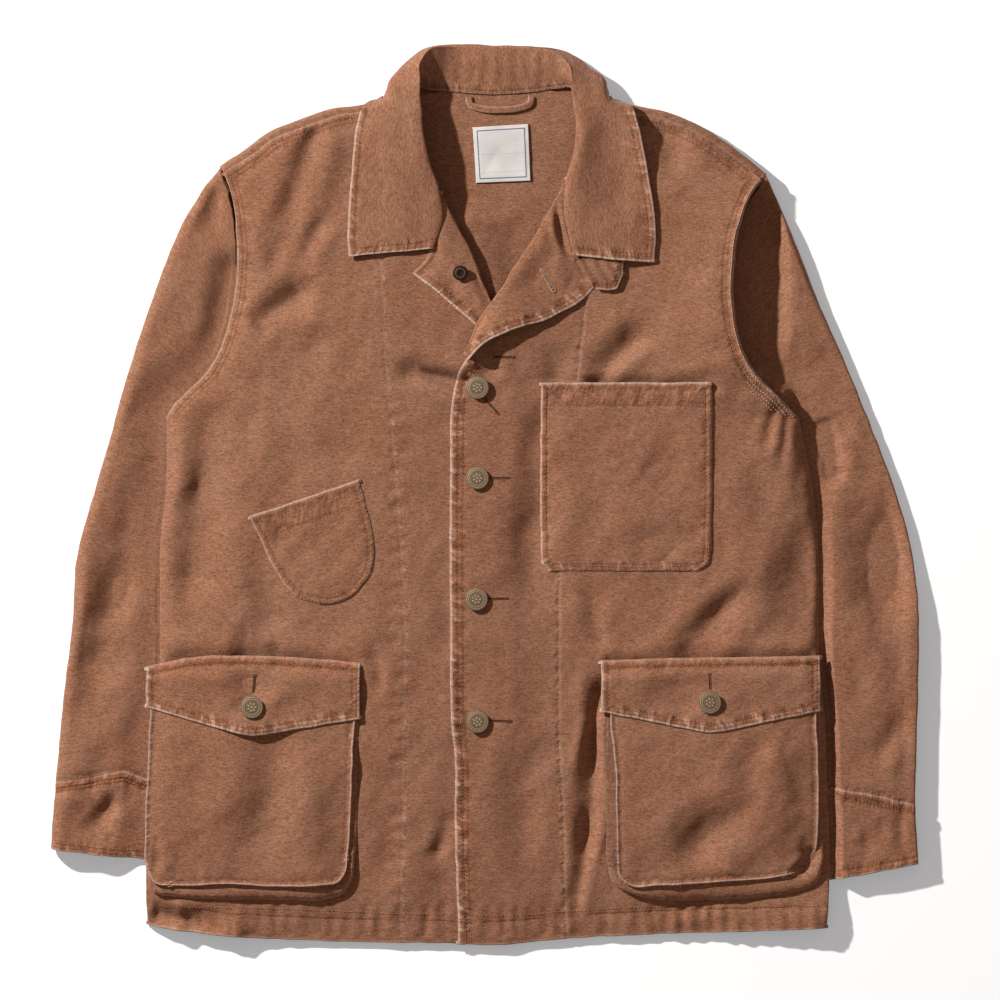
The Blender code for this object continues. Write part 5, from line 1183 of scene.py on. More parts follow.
def collar_shell():
    found = np.stack(list(COLLAR.values()), 1)
    behind = smooth((0.7 - found[:, 12:]) / 0.5)
    seam, fold, leaf, edge, turn = (found[:, a:b].copy() for a, b in ((0, 3), (3, 6), (6, 9), (9, 12), (12, 13)))
    print("collar edge", np.round(edge[:4], 1).tolist(), np.round(edge[-4:], 1).tolist(), "leaf", np.round(leaf[:2], 1).tolist(), np.round(leaf[-2:], 1).tolist())
    up = np.array([0, 0, 1.0])

    def toward(a, b, by):
        return a + (b - a) / np.linalg.norm(b - a, axis=1, keepdims=True) * by

    stand = toward(fold, seam, 3.2) - 2.2 * turn * up
    over = toward(fold, leaf, 3.2) + 1.9 * turn * up
    net = [seam, stand, toward(fold, seam, 0.9) - 1.6 * turn * up, fold, toward(fold, leaf, 0.9) + 1.4 * turn * up, over, over + (leaf - over) * 0.5, leaf]
    for share in (0.35, 0.7):
        point = leaf + (edge - leaf) * share
        flat = edge[:, 2] + (leaf[:, 2] - edge[:, 2]) * (1 - share) ** 2 * 0.25
        point[:, 2] += (flat - point[:, 2]) * behind[:, 0]
        net.append(point)
    net.append(edge)
    net = np.stack(net)
    lengths = np.linalg.norm(np.diff(net[[3, 7, 10]], axis=1), axis=2).max(0)
    ui = counts((9, 3, 2, 2, 2, 7, 7, 8, 8, 8))
    ui = np.concatenate([ui[ui <= 9.3], [9.5, 9.65, 9.77, 9.87, 9.94, 10]])
    vi = counts([max(2, int(n / 1.9)) for n in lengths])
    vi = np.concatenate([[0, 0.1, 0.25], vi[vi >= 0.45], ])
    vi = np.concatenate([vi[vi <= 23.55], [23.75, 23.9, 24]])
    net = refine(net, ui, vi)
    for x, y, way in ((-93.7, 349.4, 1), (114.4, 348.5, -1)):  # the turn of the leaf lies close to the shoulder
        close = np.exp(-((net[..., 0] - x) ** 2 + (net[..., 1] - y) ** 2) / 18.0)
        net[..., 0] += way * 3.0 * close
        net[..., 1] -= 1.5 * close
    net[..., 2] = np.maximum(net[..., 2], FLOOR)
    # The two ends of the leaf, its outer edge, and the seam along the stand.
    end_r, end_l, outer = net[:, 0, :2], net[:, -1, :2], net[-1, :, :2]
    turned = np.interp(vi, np.arange(25), found[:, 12])
    leafed = (ui >= 5)[:, None] & (turned > 0.3)[None]
    flat_z = np.where(leafed, look(COLLAR_FOLDS, net[..., :2]), 0)
    back_part = (ui <= 4)[:, None] & (turned < 0.2)[None]
    flat_z = flat_z + np.where(back_part, look(COLLAR_FOLDS, net[..., :2]) * np.clip(ui / 1.5, 0.15, 1)[:, None], 0)
    d_outer = np.minimum(near(net[..., :2], even(outer[vi < 5], 3.0), 40)[0], near(net[..., :2], even(outer[vi > 19], 3.0), 40)[0])
    d_r, _, _ = near(net[..., :2], even(end_r[45 * 0 + (ui >= 5).argmax():], 2.0), 40)
    d_l, _, _ = near(net[..., :2], even(end_l[(ui >= 5).argmax():], 2.0), 40)
    d = np.minimum(np.minimum(d_outer, d_r), d_l)
    bead = 0.40 * np.exp(-(((d - 2.8) / 2.0) ** 2)) - 0.30 * np.exp(-(((d - 5.6) / 1.7) ** 2))
    net[..., 2] += flat_z + np.where(leafed, bead, 0)
    net[..., 2] = np.maximum(net[..., 2], FLOOR)
    first = (ui >= 5).argmax()
    on_leaf = (ui >= 4)[:, None] & ((turned > 0.86) | (vi < 1) | (vi > 23))[None]
    on_stand = np.broadcast_to((ui < 3)[:, None], net.shape[:2])
    first_turn = np.flatnonzero((turned < 0.9) & (vi > 2) & (vi < 12))[0]
    last_turn = np.flatnonzero((turned < 0.9) & (vi < 22.5) & (vi > 12))[-1] + 1
    lines = [
        Line(even(outer[:first_turn], 3.0), (5.6, 0), 1.0, 1.1, 0.5, only=on_leaf), Line(even(outer[last_turn:], 3.0), (5.6, 0), 1.0, 1.1, 0.5, only=on_leaf), Line(even(end_r[first:], 2.0), (5.6, 0), 1.1, 1.5, 0.6, only=on_leaf), Line(even(end_l[first:], 2.0), (5.6, 0), 1.1, 1.5, 0.6, only=on_leaf),
        Line(even(net[0, :, :2], 3.0), (2.2, 0), 0.9, 0.3, 0.5, only=on_stand),
    ]
    # On the inner band of the neck only the seam counts, not the leaf's edge that lies below it.
    net_lines = lines
    grain = np.stack([net[..., 1], net[..., 0]], -1)
    tone = np.where((turned < 0.2)[None] & (ui <= 4)[:, None], 1.03, 0.985)
    thing = shell("collar_cloth", "collar", net, net_lines, grain, "rlt", 1.8, 2.5, tone)
    # Points of the stand and the back of the leaf take no worn edge from what lies below them in plan.
    return thing


# ---------------------------------------------------------------- sleeves and cuffs


def patch_at(bottom, top, left, right, across, along):
    u, v = np.asarray(across, float)[:, None, None], np.asarray(along, float)[None, :, None]
    ends = np.array([0.0, 1.0])
    b, t, l, r = bottom(np.asarray(across, float))[:, None], top(np.asarray(across, float))[:, None], left(np.asarray(along, float))[None], right(np.asarray(along, float))[None]
    bc, tc = bottom(ends), top(ends)
    corners = (1 - u) * (1 - v) * bc[0] + u * (1 - v) * bc[1] + (1 - u) * v * tc[0] + u * v * tc[1]
    return (1 - v) * b + v * t + (1 - u) * l + u * r - corners


def tube_net(flat_of, sewn_in, puff_of, along, left, n_out, n_under, n_back):
    """A flattened tube's rings, finer where it shows. Returns the net, the grain's sizes and where its top is."""
    rings, grains, tops = [], [], []
    fine = np.linspace(0, 1, 400)
    first = np.array([0, 0.4, 0.9, 1.6, 2.6, 3.9])
    for v in along:
        plan = flat_of(fine, np.array([v]))[:, 0]
        gone = np.concatenate([[0], np.cumsum(np.linalg.norm(np.diff(plan, axis=0), axis=1))])
        whole = gone[-1]
        inside = depth_inside(plan, OUTLINE)
        under = np.flatnonzero((inside > -5.5) & (gone > 20))
        edge = min(gone[under[0]] if len(under) else whole - 3, whole - 3)
        level_s = np.linspace(5.5, whole - 2.2, n_out + n_under)
        seen = min(edge + 9, whole - 2.5)
        split_s = np.concatenate([np.linspace(5.5, seen, n_out), np.linspace(seen, whole - 2.2, n_under + 1)[1:]])
        share = smooth((v - 0.02) / 0.08) if sewn_in else 1.0
        top = np.concatenate([first, level_s + (split_s - level_s) * share])
        bottom = np.concatenate([[whole, whole - 0.8, whole - 1.7, whole - 2.8], np.linspace(whole - 4.2, 3.8, n_back), [2.4, 1.3, 0.5]])
        s = np.concatenate([top, bottom])
        upper = np.arange(len(s)) < len(top)
        x, y, inn = (np.interp(s, gone, c) for c in (plan[:, 0], plan[:, 1], inside))
        outside = smooth(-inn / 0.8)
        fade = smooth((0.27 - v) / 0.07)
        sewn = (tip_level(y - 3) if left else arm_level(y - 3)) * outside * fade if sewn_in else 0 * s
        low = FLOOR + SLEEVE_PRESSED - LAYER + (SHOULDER_RISE - 0.7 - (FLOOR + SLEEVE_PRESSED - LAYER)) * sewn
        slope = np.interp(y, [-120, -20, 70], [9, 12, 44])
        away = smooth((-inn - 3) / slope) if left else smooth((edge - s) / 40)
        roof = np.where(s < edge, low + (puff_of(v) - low) * away, low)
        outer, inner = np.minimum(s / (1.8 if left else 10), 1), np.minimum((whole - s) / 2.2, 1)
        middle = FLOOR + (roof - FLOOR) * np.where(s < whole / 2, 0.36, 0.5)
        z_top = middle + (roof - middle) * np.sqrt(np.clip(1 - (1 - outer) ** 2, 0, 1)) * np.sqrt(np.clip(1 - (1 - inner) ** 2, 0, 1))
        outer = np.minimum(s / 3.5, 1)
        z_low = middle + (FLOOR - middle) * np.sqrt(np.clip(1 - (1 - outer) ** 2, 0, 1)) * np.sqrt(np.clip(1 - (1 - np.minimum((whole - s) / 2.6, 1)) ** 2, 0, 1))
        z = np.where(upper, z_top, z_low)
        xy = np.stack([x, y], 1)
        lively = np.where(upper, smooth(s / 14) * np.where(s < edge + 2, 1.0, 0.0) * (0.25 + 0.75 * smooth((edge - s) / 30)), 0)
        z = z + look(SLEEVES, xy) * lively
        if left and sewn_in:
            z = z + look(STEPS, xy) * np.where(upper & (s < whole - 4), smooth(s / 5), 0)
        z = np.maximum(z, np.where(upper & (s > 2.5) & (s < whole - 2.5), z_low + 1.2, FLOOR))
        ring = np.stack([x, y, z], 1)
        rings.append(np.concatenate([ring, ring[:1]]))
        g = np.concatenate([s[: len(top)], 2 * whole - s[len(top):], [2 * whole]])
        grains.append(g)
        tops.append(np.append(upper, True))
    return np.array(rings).transpose(1, 0, 2), np.array(grains).T, np.array(tops).T


def sleeve_shells(side):
    left = side > 0
    rows, cuff_rows, arm = (SLEEVE_LEFT, CUFF_LEFT, arm_left) if left else (SLEEVE_RIGHT, CUFF_RIGHT, arm_right)
    outer, inner = spline(rows, "outer_x outer_y"), spline(rows, "inner_x inner_y")
    t = np.linspace(0, 1, 200)
    cut = np.argmin(np.linalg.norm(arm(t)[::-1] - inner(0.0), axis=1)) / 199
    way = 1 if left else -1

    def at_arm(s):
        s = np.asarray(s, float)
        return arm(1 - cut * s) + np.stack([way * 0.6 * (1 - s) ** 4 - way * (1.6 if left else 1.8), 0 * s], -1)

    def at_cuff(s):
        return np.stack([np.interp(s, cuff_rows["across"], cuff_rows[k]) for k in ("seam_x", "seam_y")], -1)

    def at_end(s):
        return np.stack([np.interp(s, cuff_rows["across"], cuff_rows[k]) for k in ("end_x", "end_y")], -1)

    name = "left" if left else "right"

    def whole(s, v):
        return patch_at(at_arm, lambda q: at_cuff(q) + [0, 0.1], starting(outer, at_arm(0.0)), starting(inner, at_arm(1.0)), s, v)

    seam_line = even(at_cuff(np.linspace(0, 1, 60)), 2.5)
    along = np.concatenate([np.linspace(0, 0.14, 44)[:-1], np.linspace(0.14, 0.985, 190)[:-1], np.linspace(0.985, 1, 8)])
    net, grain_s, top = tube_net(whole, True, lambda v: SLEEVE_PUFF - (SLEEVE_PUFF - CUFF_PUFF) * smooth((v - 0.7) / 0.3) + (np.interp(v, [0, 0.3, 0.45, 0.62, 0.72, 1], [-4.0, -5.2, -5.4, -4.8, -0.6, 2.8]) if left else 1.6 * smooth((v - 0.85) / 0.15)), along, left, 66, 12, 20)
    # At the cuff's seam the sleeve is gathered in a little under the cuff's edge.
    d, _, _ = near(net[..., :2], seam_line, 40)
    net[..., 2] -= np.where(top, 0.9 * (1 - smooth(d / 7)), 0)
    net[..., 2] = np.maximum(net[..., 2], FLOOR)
    grain = np.stack([grain_s, np.broadcast_to(along * -560.0, grain_s.shape)], -1)
    lines = [Line(seam_line, (), 0.8, 0.15, 0.5)]
    band = shell(f"sleeve_{name}_cloth", f"sleeve_{name}", net, lines, grain, "", tone=1.0, tube=True)

    end_line = even(at_end(np.linspace(0, 1, 60)), 2.5)

    def cuff(s, v):
        start, end = at_cuff(s) + [0, 0.6], at_end(s)
        return start[:, None] + (end - start)[:, None] * np.asarray(v)[None, :, None]

    v = clustered(66, 1.9, True, True, (0, 0.5, 1.1, 1.9, 2.9, 4.1))
    net, grain_s, top = tube_net(cuff, False, lambda q: CUFF_PUFF + 4.2 * smooth(q / 0.6) if not left else CUFF_PUFF + 3.4, v, left, 66, 8, 20)
    # The band stands over the sleeve at its seam, where it is several layers thick, and its hem is a soft bead.
    d, _, _ = near(net[..., :2], seam_line, 40)
    e, _, _ = near(net[..., :2], end_line, 40)
    net[..., 2] += np.where(top, 0.7 * np.exp(-(((d - 3.2) / 3.0) ** 2)) - 0.35 * np.exp(-(((d - 8.2) / 1.8) ** 2)) + 0.4 * np.exp(-(((e - 2.6) / 2.2) ** 2)) - 0.3 * np.exp(-(((e - 6.0) / 1.6) ** 2)), 0)
    net[..., 2] = np.maximum(net[..., 2], FLOOR)
    grain = np.stack([grain_s, np.broadcast_to(v * -66.0, grain_s.shape)], -1)
    lines = [Line(seam_line, (4.6, 8.0), 1.0, 0.7, 0.9), Line(end_line, (6.0, 0), 1.0, 0.8, 0.8)]
    # Both ends roll in: the upper one sits on the sleeve.
    inner_rows = []
    for k, (tucked, shrink) in enumerate(((0.5, 0.25), (0.7, 0.8), (0.2, 1.4), (-1.5, 1.7))):
        ring = net[:, -1] + np.array([0, -1.0, 0]) * tucked
        ring[:, 2] += np.where(top[:, -1], -1, 1) * shrink * 0.8
        inner_rows.append(ring)
    net2 = np.concatenate([net, np.stack(inner_rows, 1)], 1)
    net2[..., 2] = np.maximum(net2[..., 2], FLOOR)
    grain2 = np.concatenate([grain, np.repeat(grain[:, -1:], 4, 1)], 1)
    return band, shell(f"cuff_{name}_cloth", f"cuff_{name}", net2, lines, grain2, "", tone=0.985, tube=True)


# ---------------------------------------------------------------- pockets


def pocket_base(xy):
    rise = np.interp(xy[..., 1], RISE["y"], RISE["z"])
    return rise - 2.2 * (1 - smooth(look(FRONT_RING, xy, 2.0) / 16))


def face_height(xy):
    # Each pocket lies lower along its side that looks away from the lamp.
    low = smooth((xy[..., 0] + 160) / 40) * (xy[..., 0] < 0) + smooth((xy[..., 0] - 250) / 40)
    high = smooth((-318 - xy[..., 1]) / 26)
    return pocket_base(xy) + POCKET_LOW * (1 - 0.4 * low) + (POCKET_DEEP - POCKET_LOW) * smooth((-170 - xy[..., 1]) / 110) * (1 - low * np.where(xy[..., 0] < 0, 0.55, 0.85) * (1 - 0.4 * high))


def cargo_shells(side):
    left = side > 0
    name = "left" if left else "right"
    rows, flap_rows = (GUSSET_LEFT, FLAP_LEFT) if left else (GUSSET_RIGHT, FLAP_RIGHT)
    face, foot = spline(rows, "face_x face_y"), spline(rows, "foot_x foot_y")
    along = np.linspace(0, 1, 300)
    top_edge, low_edge = face(along), foot(along)
    centre = np.array([np.mean([top_edge[:, 0].min(), top_edge[:, 0].max()]), -240])
    # The gusset folds in on itself half way up, under the face's edge.
    rim = np.concatenate([top_edge, (face_height(top_edge) - 0.9)[:, None]], 1)
    base = np.concatenate([low_edge, (front_height(low_edge) + 1.0 + 0.8 * look(BODY, low_edge))[:, None]], 1)
    inwards = centre - low_edge
    inwards /= np.linalg.norm(inwards, axis=1, keepdims=True)
    low = smooth((-300 - low_edge[:, 1]) / 30)[:, None]
    net = []
    for share in np.linspace(0, 1, 14):
        p = base + (rim - base) * share
        # Slack cloth: a soft belly low down and a crease under the rim.
        p[:, :2] -= inwards * (1.3 * math.sin(math.pi * min(share * 1.3, 1)) * (0.3 + low))
        p[:, 2] += (1.9 * math.sin(math.pi * min(share * 1.15, 1)) * low[:, 0]) + 0.35 * look(POCKETS, p[:, :2] * [1, 1])
        net.append(p)
    net = np.stack(net)
    foot_line, rim_line = even(low_edge, 3.0), even(top_edge, 3.0)
    lines = [Line(foot_line, (), 0.7, 0.15, 0.6), Line(rim_line, (), 0.5, 0.2, 0.3)]
    # Painted shade: the gusset's side towards the lamp is coloured darker, standing in for the shadow of the raised
    # cloth beside the pocket.
    shell(f"cargo_gusset_{name}_cloth", f"cargo_gusset_{name}", net, lines, None, "", 1.2, 2.0, np.where((net[..., 0] < centre[0] - 60) & (net[..., 1] > -330), 0.62 if left else 0.92, 1.0))
    a, b = (0.37, 0.70)
    down, up = part_of(face, 0, a), lambda t: face(1 - (1 - b) * np.asarray(t, float))
    floor_of = part_of(face, a, b)
    shrink = lambda c: (lambda t: c(t) + (centre - c(t)) / np.linalg.norm(centre - c(t), axis=-1, keepdims=True) * 0.2)
    lft, rgt = (lambda t: shrink(down)(1 - np.asarray(t, float))), (lambda t: shrink(up)(1 - np.asarray(t, float)))
    u, v = clustered(180, 2.0), clustered(178, 2.0, True, False)
    flat = patch_at(shrink(floor_of), line(shrink(down)(0.0), shrink(up)(0.0)), lft, rgt, u, v)
    if left:
        flat = flat[::-1]
    d, s, _ = near(flat, rim_line, 60)
    lip_up = 0.55 * np.exp(-((d / 1.3) ** 2)) - 0.45 * np.exp(-(((d - 3.6) / 2.0) ** 2))
    z = face_height(flat) + 1.0 + look(POCKETS, flat) + lip_up
    net = np.concatenate([flat, z[..., None]], -1)
    lines = [Line(rim_line, (), 0.7, 0.9, 0.2)]
    shell(f"cargo_pocket_{name}_cloth", f"cargo_pocket_{name}", net, lines, None, "lrb", 1.6, 2.0, 0.985)
    top, low = spline(flap_rows, "x top"), spline(flap_rows, "x bottom")
    ends = (line(low(0.0), top(0.0)), line(low(1.0), top(1.0)))
    u, v = clustered(195, 2.0), clustered(56, 1.8)
    # The lower edge runs straight to its point.
    low_x, low_y = np.array(flap_rows["x"], float), np.array(flap_rows["bottom"], float)
    tip, soft_low = low_y.argmin(), low
    straight = lambda q: np.interp(q, [low_x[0], low_x[tip], low_x[-1]] if low_x[-1] > low_x[0] else [low_x[-1], low_x[tip], low_x[0]], [low_y[0], low_y[tip], low_y[-1]] if low_x[-1] > low_x[0] else [low_y[-1], low_y[tip], low_y[0]])
    low = lambda t: np.stack([soft_low(t)[..., 0], 0.35 * soft_low(t)[..., 1] + 0.65 * straight(soft_low(t)[..., 0])], -1)
    flat = patch_at(low, top, *ends, u, v)
    top_line, low_line = sampled(top), sampled(low)
    end_lines = [even(np.array([e(0.0), e(1.0)]), 3.0) for e in ends]
    drop = smooth((-146 - flat[..., 1]) / 18)
    z = (1 - drop) * (pocket_base(flat) + 1.9) + drop * (face_height(flat) + 1.0 + 1.5)
    d, _, _ = near(flat, low_line, 60)
    e = np.minimum(*[near(flat, q, 40)[0] for q in end_lines])
    t, _, _ = near(flat, top_line, 40)
    z = z + look(POCKETS, flat) * 0.8 + (0 if left else 2.4) * np.exp(-(((flat[..., 0] + 203) / 30) ** 2) - (((flat[..., 1] + 210) / 18) ** 2)) + 0.35 * np.exp(-(((np.minimum(d, e) - 2.7) / 2.0) ** 2)) - 0.28 * np.exp(-(((np.minimum(d, e) - 5.4) / 1.6) ** 2))
    z = z + 0.9 * np.exp(-(((t - 3.4) / 2.6) ** 2)) - 0.45 * np.exp(-(((t - 7.6) / 1.8) ** 2)) - 1.3 * (1 - smooth(t / 2.4))
    net = np.concatenate([flat, z[..., None]], -1)
    lines = [Line(low_line, (5.3, 0), 1.2, 1.3, 0.6), Line(end_lines[0], (5.3, 0), 0.9, 0.9, 0.6), Line(end_lines[1], (5.3, 0), 0.9, 0.9, 0.6), Line(top_line, (6.6, 0), 0.6, 0.3, 0.6)]
    shell(f"cargo_flap_{name}_cloth", f"cargo_flap_{name}", net, lines, None, "lrbt", 2.2, 2.5, 0.985 if left else 0.99)
    return low_line, end_lines, top_line, rim_line


def patch_shells():
    levels = 96 - 164 * clustered(164, 2.0)
    edge_l, edge_r = (np.interp(-levels, -CHEST["y"], CHEST[k]) for k in ("left", "right"))
    across = clustered(149, 2.0)
    flat = np.stack([np.stack([edge_l + (edge_r - edge_l) * u, levels + 0 * edge_l], -1) for u in across])
    extra = 0.35 * smooth((flat[..., 0] - 110) / 60) * smooth((flat[..., 1] - 30) / 45)
    outline_line = even(np.concatenate([np.stack([edge_l, levels], 1), np.stack([edge_r, levels], 1)[::-1]]), 2.5)
    top_line = even(np.array([[50, 96], [198, 96.0]]), 3.0)
    d, _, _ = near(flat, outline_line, 60)
    h = 96 - flat[..., 1]
    sides = np.minimum(flat[..., 0] - edge_l[None], edge_r[None] - flat[..., 0])
    z = over_height(flat) + LAYER + 0.2 + extra + 0.55 * look(BODY, flat) * smooth(h / 16) + look(POCKETS, flat) * smooth(d / 9)
    z = z + 0.35 * np.exp(-(((sides - 2.6) / 2.0) ** 2)) - 0.3 * np.exp(-(((sides - 5.6) / 1.6) ** 2)) - 0.8 * (1 - smooth(d / 1.2)) * (h > 2)
    z = z + 0.55 * np.exp(-(((h - 2.5) / 2.5) ** 2)) + 0.35 * smooth(h / 3) * (1 - smooth((h - 15) / 4)) - 0.35 * np.exp(-(((h - 19.5) / 1.6) ** 2))
    net = np.concatenate([flat, z[..., None]], -1)
    hem_at = even(np.array([[49.5, 76.5], [198, 76.5]]), 3.0)
    lines = [Line(outline_line, (5.3, 0), 0.75, 0.85, 0.45), Line(top_line, (19.6, 0), 0.8, 1.0, 0.25, reach=40)]
    shell("chest_pocket_cloth", "chest_pocket", net, lines, None, "lrtb", 1.5, 2.0, 1.0)
    c, s = math.cos(WATCH_TILT), math.sin(WATCH_TILT)
    down = 93 * clustered(93, 1.8)
    edge_l, edge_r = (spline({"x": WATCH["down"], "y": WATCH[k]})(np.linspace(0, 1, 400)) for k in ("left", "right"))
    edge_l, edge_r = (np.interp(down, e[:, 0], e[:, 1]) for e in (edge_l, edge_r))
    across = clustered(100, 1.8)
    a = edge_l[None] + (edge_r - edge_l)[None] * across[:, None]
    dn = down[None] + smooth((down - 74) / 19)[None] * (2.4 - 4.2 * (2 * across[:, None] - 1) ** 2)  # its bottom is round
    flat = np.stack([WATCH_ORIGIN[0] + a * c + dn * s, WATCH_ORIGIN[1] + a * s - dn * c], -1)
    rim = even(np.concatenate([flat[0], flat[1:-1, -1], flat[-1][::-1]]), 2.5)
    top_line = even(flat[:, 0], 2.5)
    d, _, _ = near(flat, rim, 60)
    z = front_height(flat) + LAYER + 0.1 + 0.8 * look(BODY, flat) + look(POCKETS, flat) * smooth(d / 9) - 0.7 * (1 - smooth(d / 1.2)) * (dn > 1.5)
    z = z + 0.5 * np.exp(-(((dn - 2.5) / 2.5) ** 2)) - 0.32 * np.exp(-(((dn - 20) / 1.6) ** 2)) + 0.25 * np.exp(-(((d - 2.4) / 2.0) ** 2)) * (dn > 4) - 0.22 * np.exp(-(((d - 5.0) / 1.6) ** 2)) * (dn > 4)
    net = np.concatenate([flat, z[..., None]], -1)
    grain = np.stack([a, -dn], -1)
    lines = [Line(rim, (4.8, 0), 0.7, 0.75, 0.45), Line(top_line, (20, 0), 0.8, 1.0, 0.25, reach=40)]
    shell("watch_pocket_cloth", "watch_pocket", net, lines, grain, "lrtb", 1.4, 2.0, 1.0)
    return rim


side_shell(-1)
side_shell(1)
centre_shell(-1)
centre_shell(1)
back_shell()
lapel_shell(-1)
lapel_shell(1)
collar_shell()
sleeve_shells(-1)
sleeve_shells(1)
FLAP_LINES = {"right": cargo_shells(-1), "left": cargo_shells(1)}
patch_shells()


def small_pieces():
    # Throat tab, under the left leaf.
    t = np.linspace(0, 1, 30)
    low = np.stack([np.interp(t, TAB["along"], TAB[k]) for k in ("low_x", "low_y")], 1)
    high = np.stack([np.interp(t, TAB["along"], TAB[k]) for k in ("high_x", "high_y")], 1)
    v = clustered(30, 1.4, True, False, (0, 0.5, 1.2, 2.2))
    flat = np.stack([low + (high - low) * w for w in v], 1)
    # Its outer end is rounded.
    end = smooth((flat[..., 0] - 113) / 9)
    flat[..., 1] += 3.0 * end**2 * (1 - v)[None]
    rim = even(np.concatenate([flat[:, 0], flat[-1]]), 2.0)
    d, _, _ = near(flat, rim, 40)
    z = front_height(flat) + LAYER + 0.6 + 2.0 + 1.2 * smooth(d / 5) + 0.3 * look(COLLAR_FOLDS, flat) + 0.5 * np.sin(flat[..., 0] * 0.6 + flat[..., 1] * 0.35) * smooth(d / 6)
    net = np.concatenate([flat, z[..., None]], -1)
    shell("throat_tab_cloth", "throat_tab", net, [Line(rim, (4.2, 0), 1.0, 1.0, 0.9)], None, "rb", 1.6, 2.0, 0.9)
    # Hanger loop: a narrow folded strip with its ends tacked down.
    path = even(spline(LOOP)(np.linspace(0, 1, 200)), 1.3)
    way = np.gradient(path, axis=0)
    way /= np.linalg.norm(way, axis=1, keepdims=True)
    across = np.stack([-way[:, 1], way[:, 0]], 1)
    t = np.linspace(0, 1, len(path))
    rise = 1.7 + 1.5 * np.sin(np.pi * t) ** 0.6
    net = []
    for w in np.linspace(-1, 1, 11):
        p = path + across * 2.7 * w
        net.append(np.concatenate([p, (back_height(p) + rise + 0.7 * (1 - w * w) ** 0.5 * 1.0 - 0.2)[:, None]], 1))
    net = np.stack(net)
    rims = [Line(even(net[0, :, :2], 2.0), (0, 0), 0.5, 0.55, 0.5), Line(even(net[-1, :, :2], 2.0), (0, 0), 0.5, 0.55, 0.5)]
    shell("hanger_loop_cloth", "hanger_loop", net, rims, np.stack([net[..., 1], net[..., 0]], -1), "lr", 1.0, 1.0, 0.95)
    # Neck label.
    corners = np.stack([LABEL_CORNERS["x"], LABEL_CORNERS["y"]], 1)
    u, v = np.linspace(0, 1, 44), np.linspace(0, 1, 44)
    flat = patch_at(line(corners[0], corners[1]), line(corners[3], corners[2]), line(corners[0], corners[3]), line(corners[1], corners[2]), u, v)
    edge = np.minimum(np.minimum(u, 1 - u)[:, None] * 48, np.minimum(v, 1 - v)[None] * 49)
    z = back_height(flat) + look(BACK, flat) + 1.9 + 0.35 * smooth(edge / 5) + 0.12 * np.sin(flat[..., 0] / 3.1) * smooth((4 - edge) / 4) + 0.12 * np.sin(flat[..., 1] / 2.9) * smooth((4 - edge) / 4)
    net = np.concatenate([flat, z[..., None]], -1)
    across_mm = np.stack([np.broadcast_to(u[:, None] * 48, (44, 44)), np.broadcast_to(v[None] * 49, (44, 44))], -1)
    shell("neck_label_cloth", "neck_label", net, (), across_mm, "lrtb", 0.7, 0.5, 1.0, label_material(), no_warp=True)
    MADE[-1]


def label_material():
    m = Tree("woven_label")
    x, y, _ = m.split(m.attribute("grain", True))
    ex = m.math("MINIMUM", x, m.math("SUBTRACT", 0.048, x))
    ey = m.math("MINIMUM", y, m.math("SUBTRACT", 0.049, y))
    e = m.math("MINIMUM", ex, ey)
    ragged = m.noise(m.combine(m.math("MULTIPLY", x, 1 / 0.0007), m.math("MULTIPLY", y, 1 / 0.0007)), 1.0, 1.0)
    border = m.math("MULTIPLY", m.step(m.math("ABSOLUTE", m.math("SUBTRACT", e, 0.0032)), 0.00035, 0.0006, 1.0, 0.0), m.step(ragged, 0.3, 0.6, 0.7, 1.0))
    inside = m.step(e, 0.0046, 0.0048)
    rules = None
    for at in (0.0245, 0.0085):
        r = m.math("MULTIPLY", m.step(m.math("ABSOLUTE", m.math("SUBTRACT", y, at)), 0.00010, 0.00022, 1.0, 0.0), inside)
        rules = r if rules is None else m.math("ADD", rules, r)
    grain = m.noise(m.combine(m.math("MULTIPLY", x, 1 / 0.0005), m.math("MULTIPLY", y, 1 / 0.0018)), 1.0, 2.0)
    soil = m.noise(m.combine(m.math("MULTIPLY", x, 60.0), m.math("MULTIPLY", y, 60.0)), 1.0, 3.0, 0.5, 3.0)
    base = m.mix(m.step(soil, 0.3, 0.75), (0.70, 0.69, 0.68, 1), (0.62, 0.61, 0.60, 1))
    base = m.scaled(base, m.step(grain, 0.3, 0.7, 0.93, 1.05, False))
    colour = m.mix(border, base, (0.07, 0.10, 0.20, 1))
    colour = m.mix(m.math("MULTIPLY", rules, 0.55), colour, (0.30, 0.32, 0.38, 1))
    height = m.math("MULTIPLY_ADD", grain, 0.00008, m.math("MULTIPLY", border, 0.0002))
    return m.finish(colour, m.bump(height), 0.75, 0.0, 0.05, 0.25)


small_pieces()


# ---------------------------------------------------------------- what lies on the cloth


def surface(names):
    """A surface to find heights on, made of those shells."""
    verts, faces, n = [], [], 0
    for name in names:
        _, net, quads = SHELLS[name]
        verts.append(net.reshape(-1, 3))
        faces.append(quads + n)
        n += len(verts[-1])
    return BVHTree.FromPolygons(np.concatenate(verts).tolist(), np.concatenate(faces).tolist())


TOP = surface([n for n in SHELLS if n not in ("neck_label_cloth", "hanger_loop_cloth")])


def dropped(xy, tree=None):
    """Heights and normals of the topmost cloth at points of the plan."""
    z, normal = np.full(len(xy), np.nan), np.tile([0, 0, 1.0], (len(xy), 1))
    for i, (x, y) in enumerate(xy):
        hit, n, _, _ = (tree or TOP).ray_cast(Vector((x, y, 120)), Vector((0, 0, -1)))
        if hit:
            z[i] = hit.z
            normal[i] = n if n.z > 0 else -n
    return z, normal


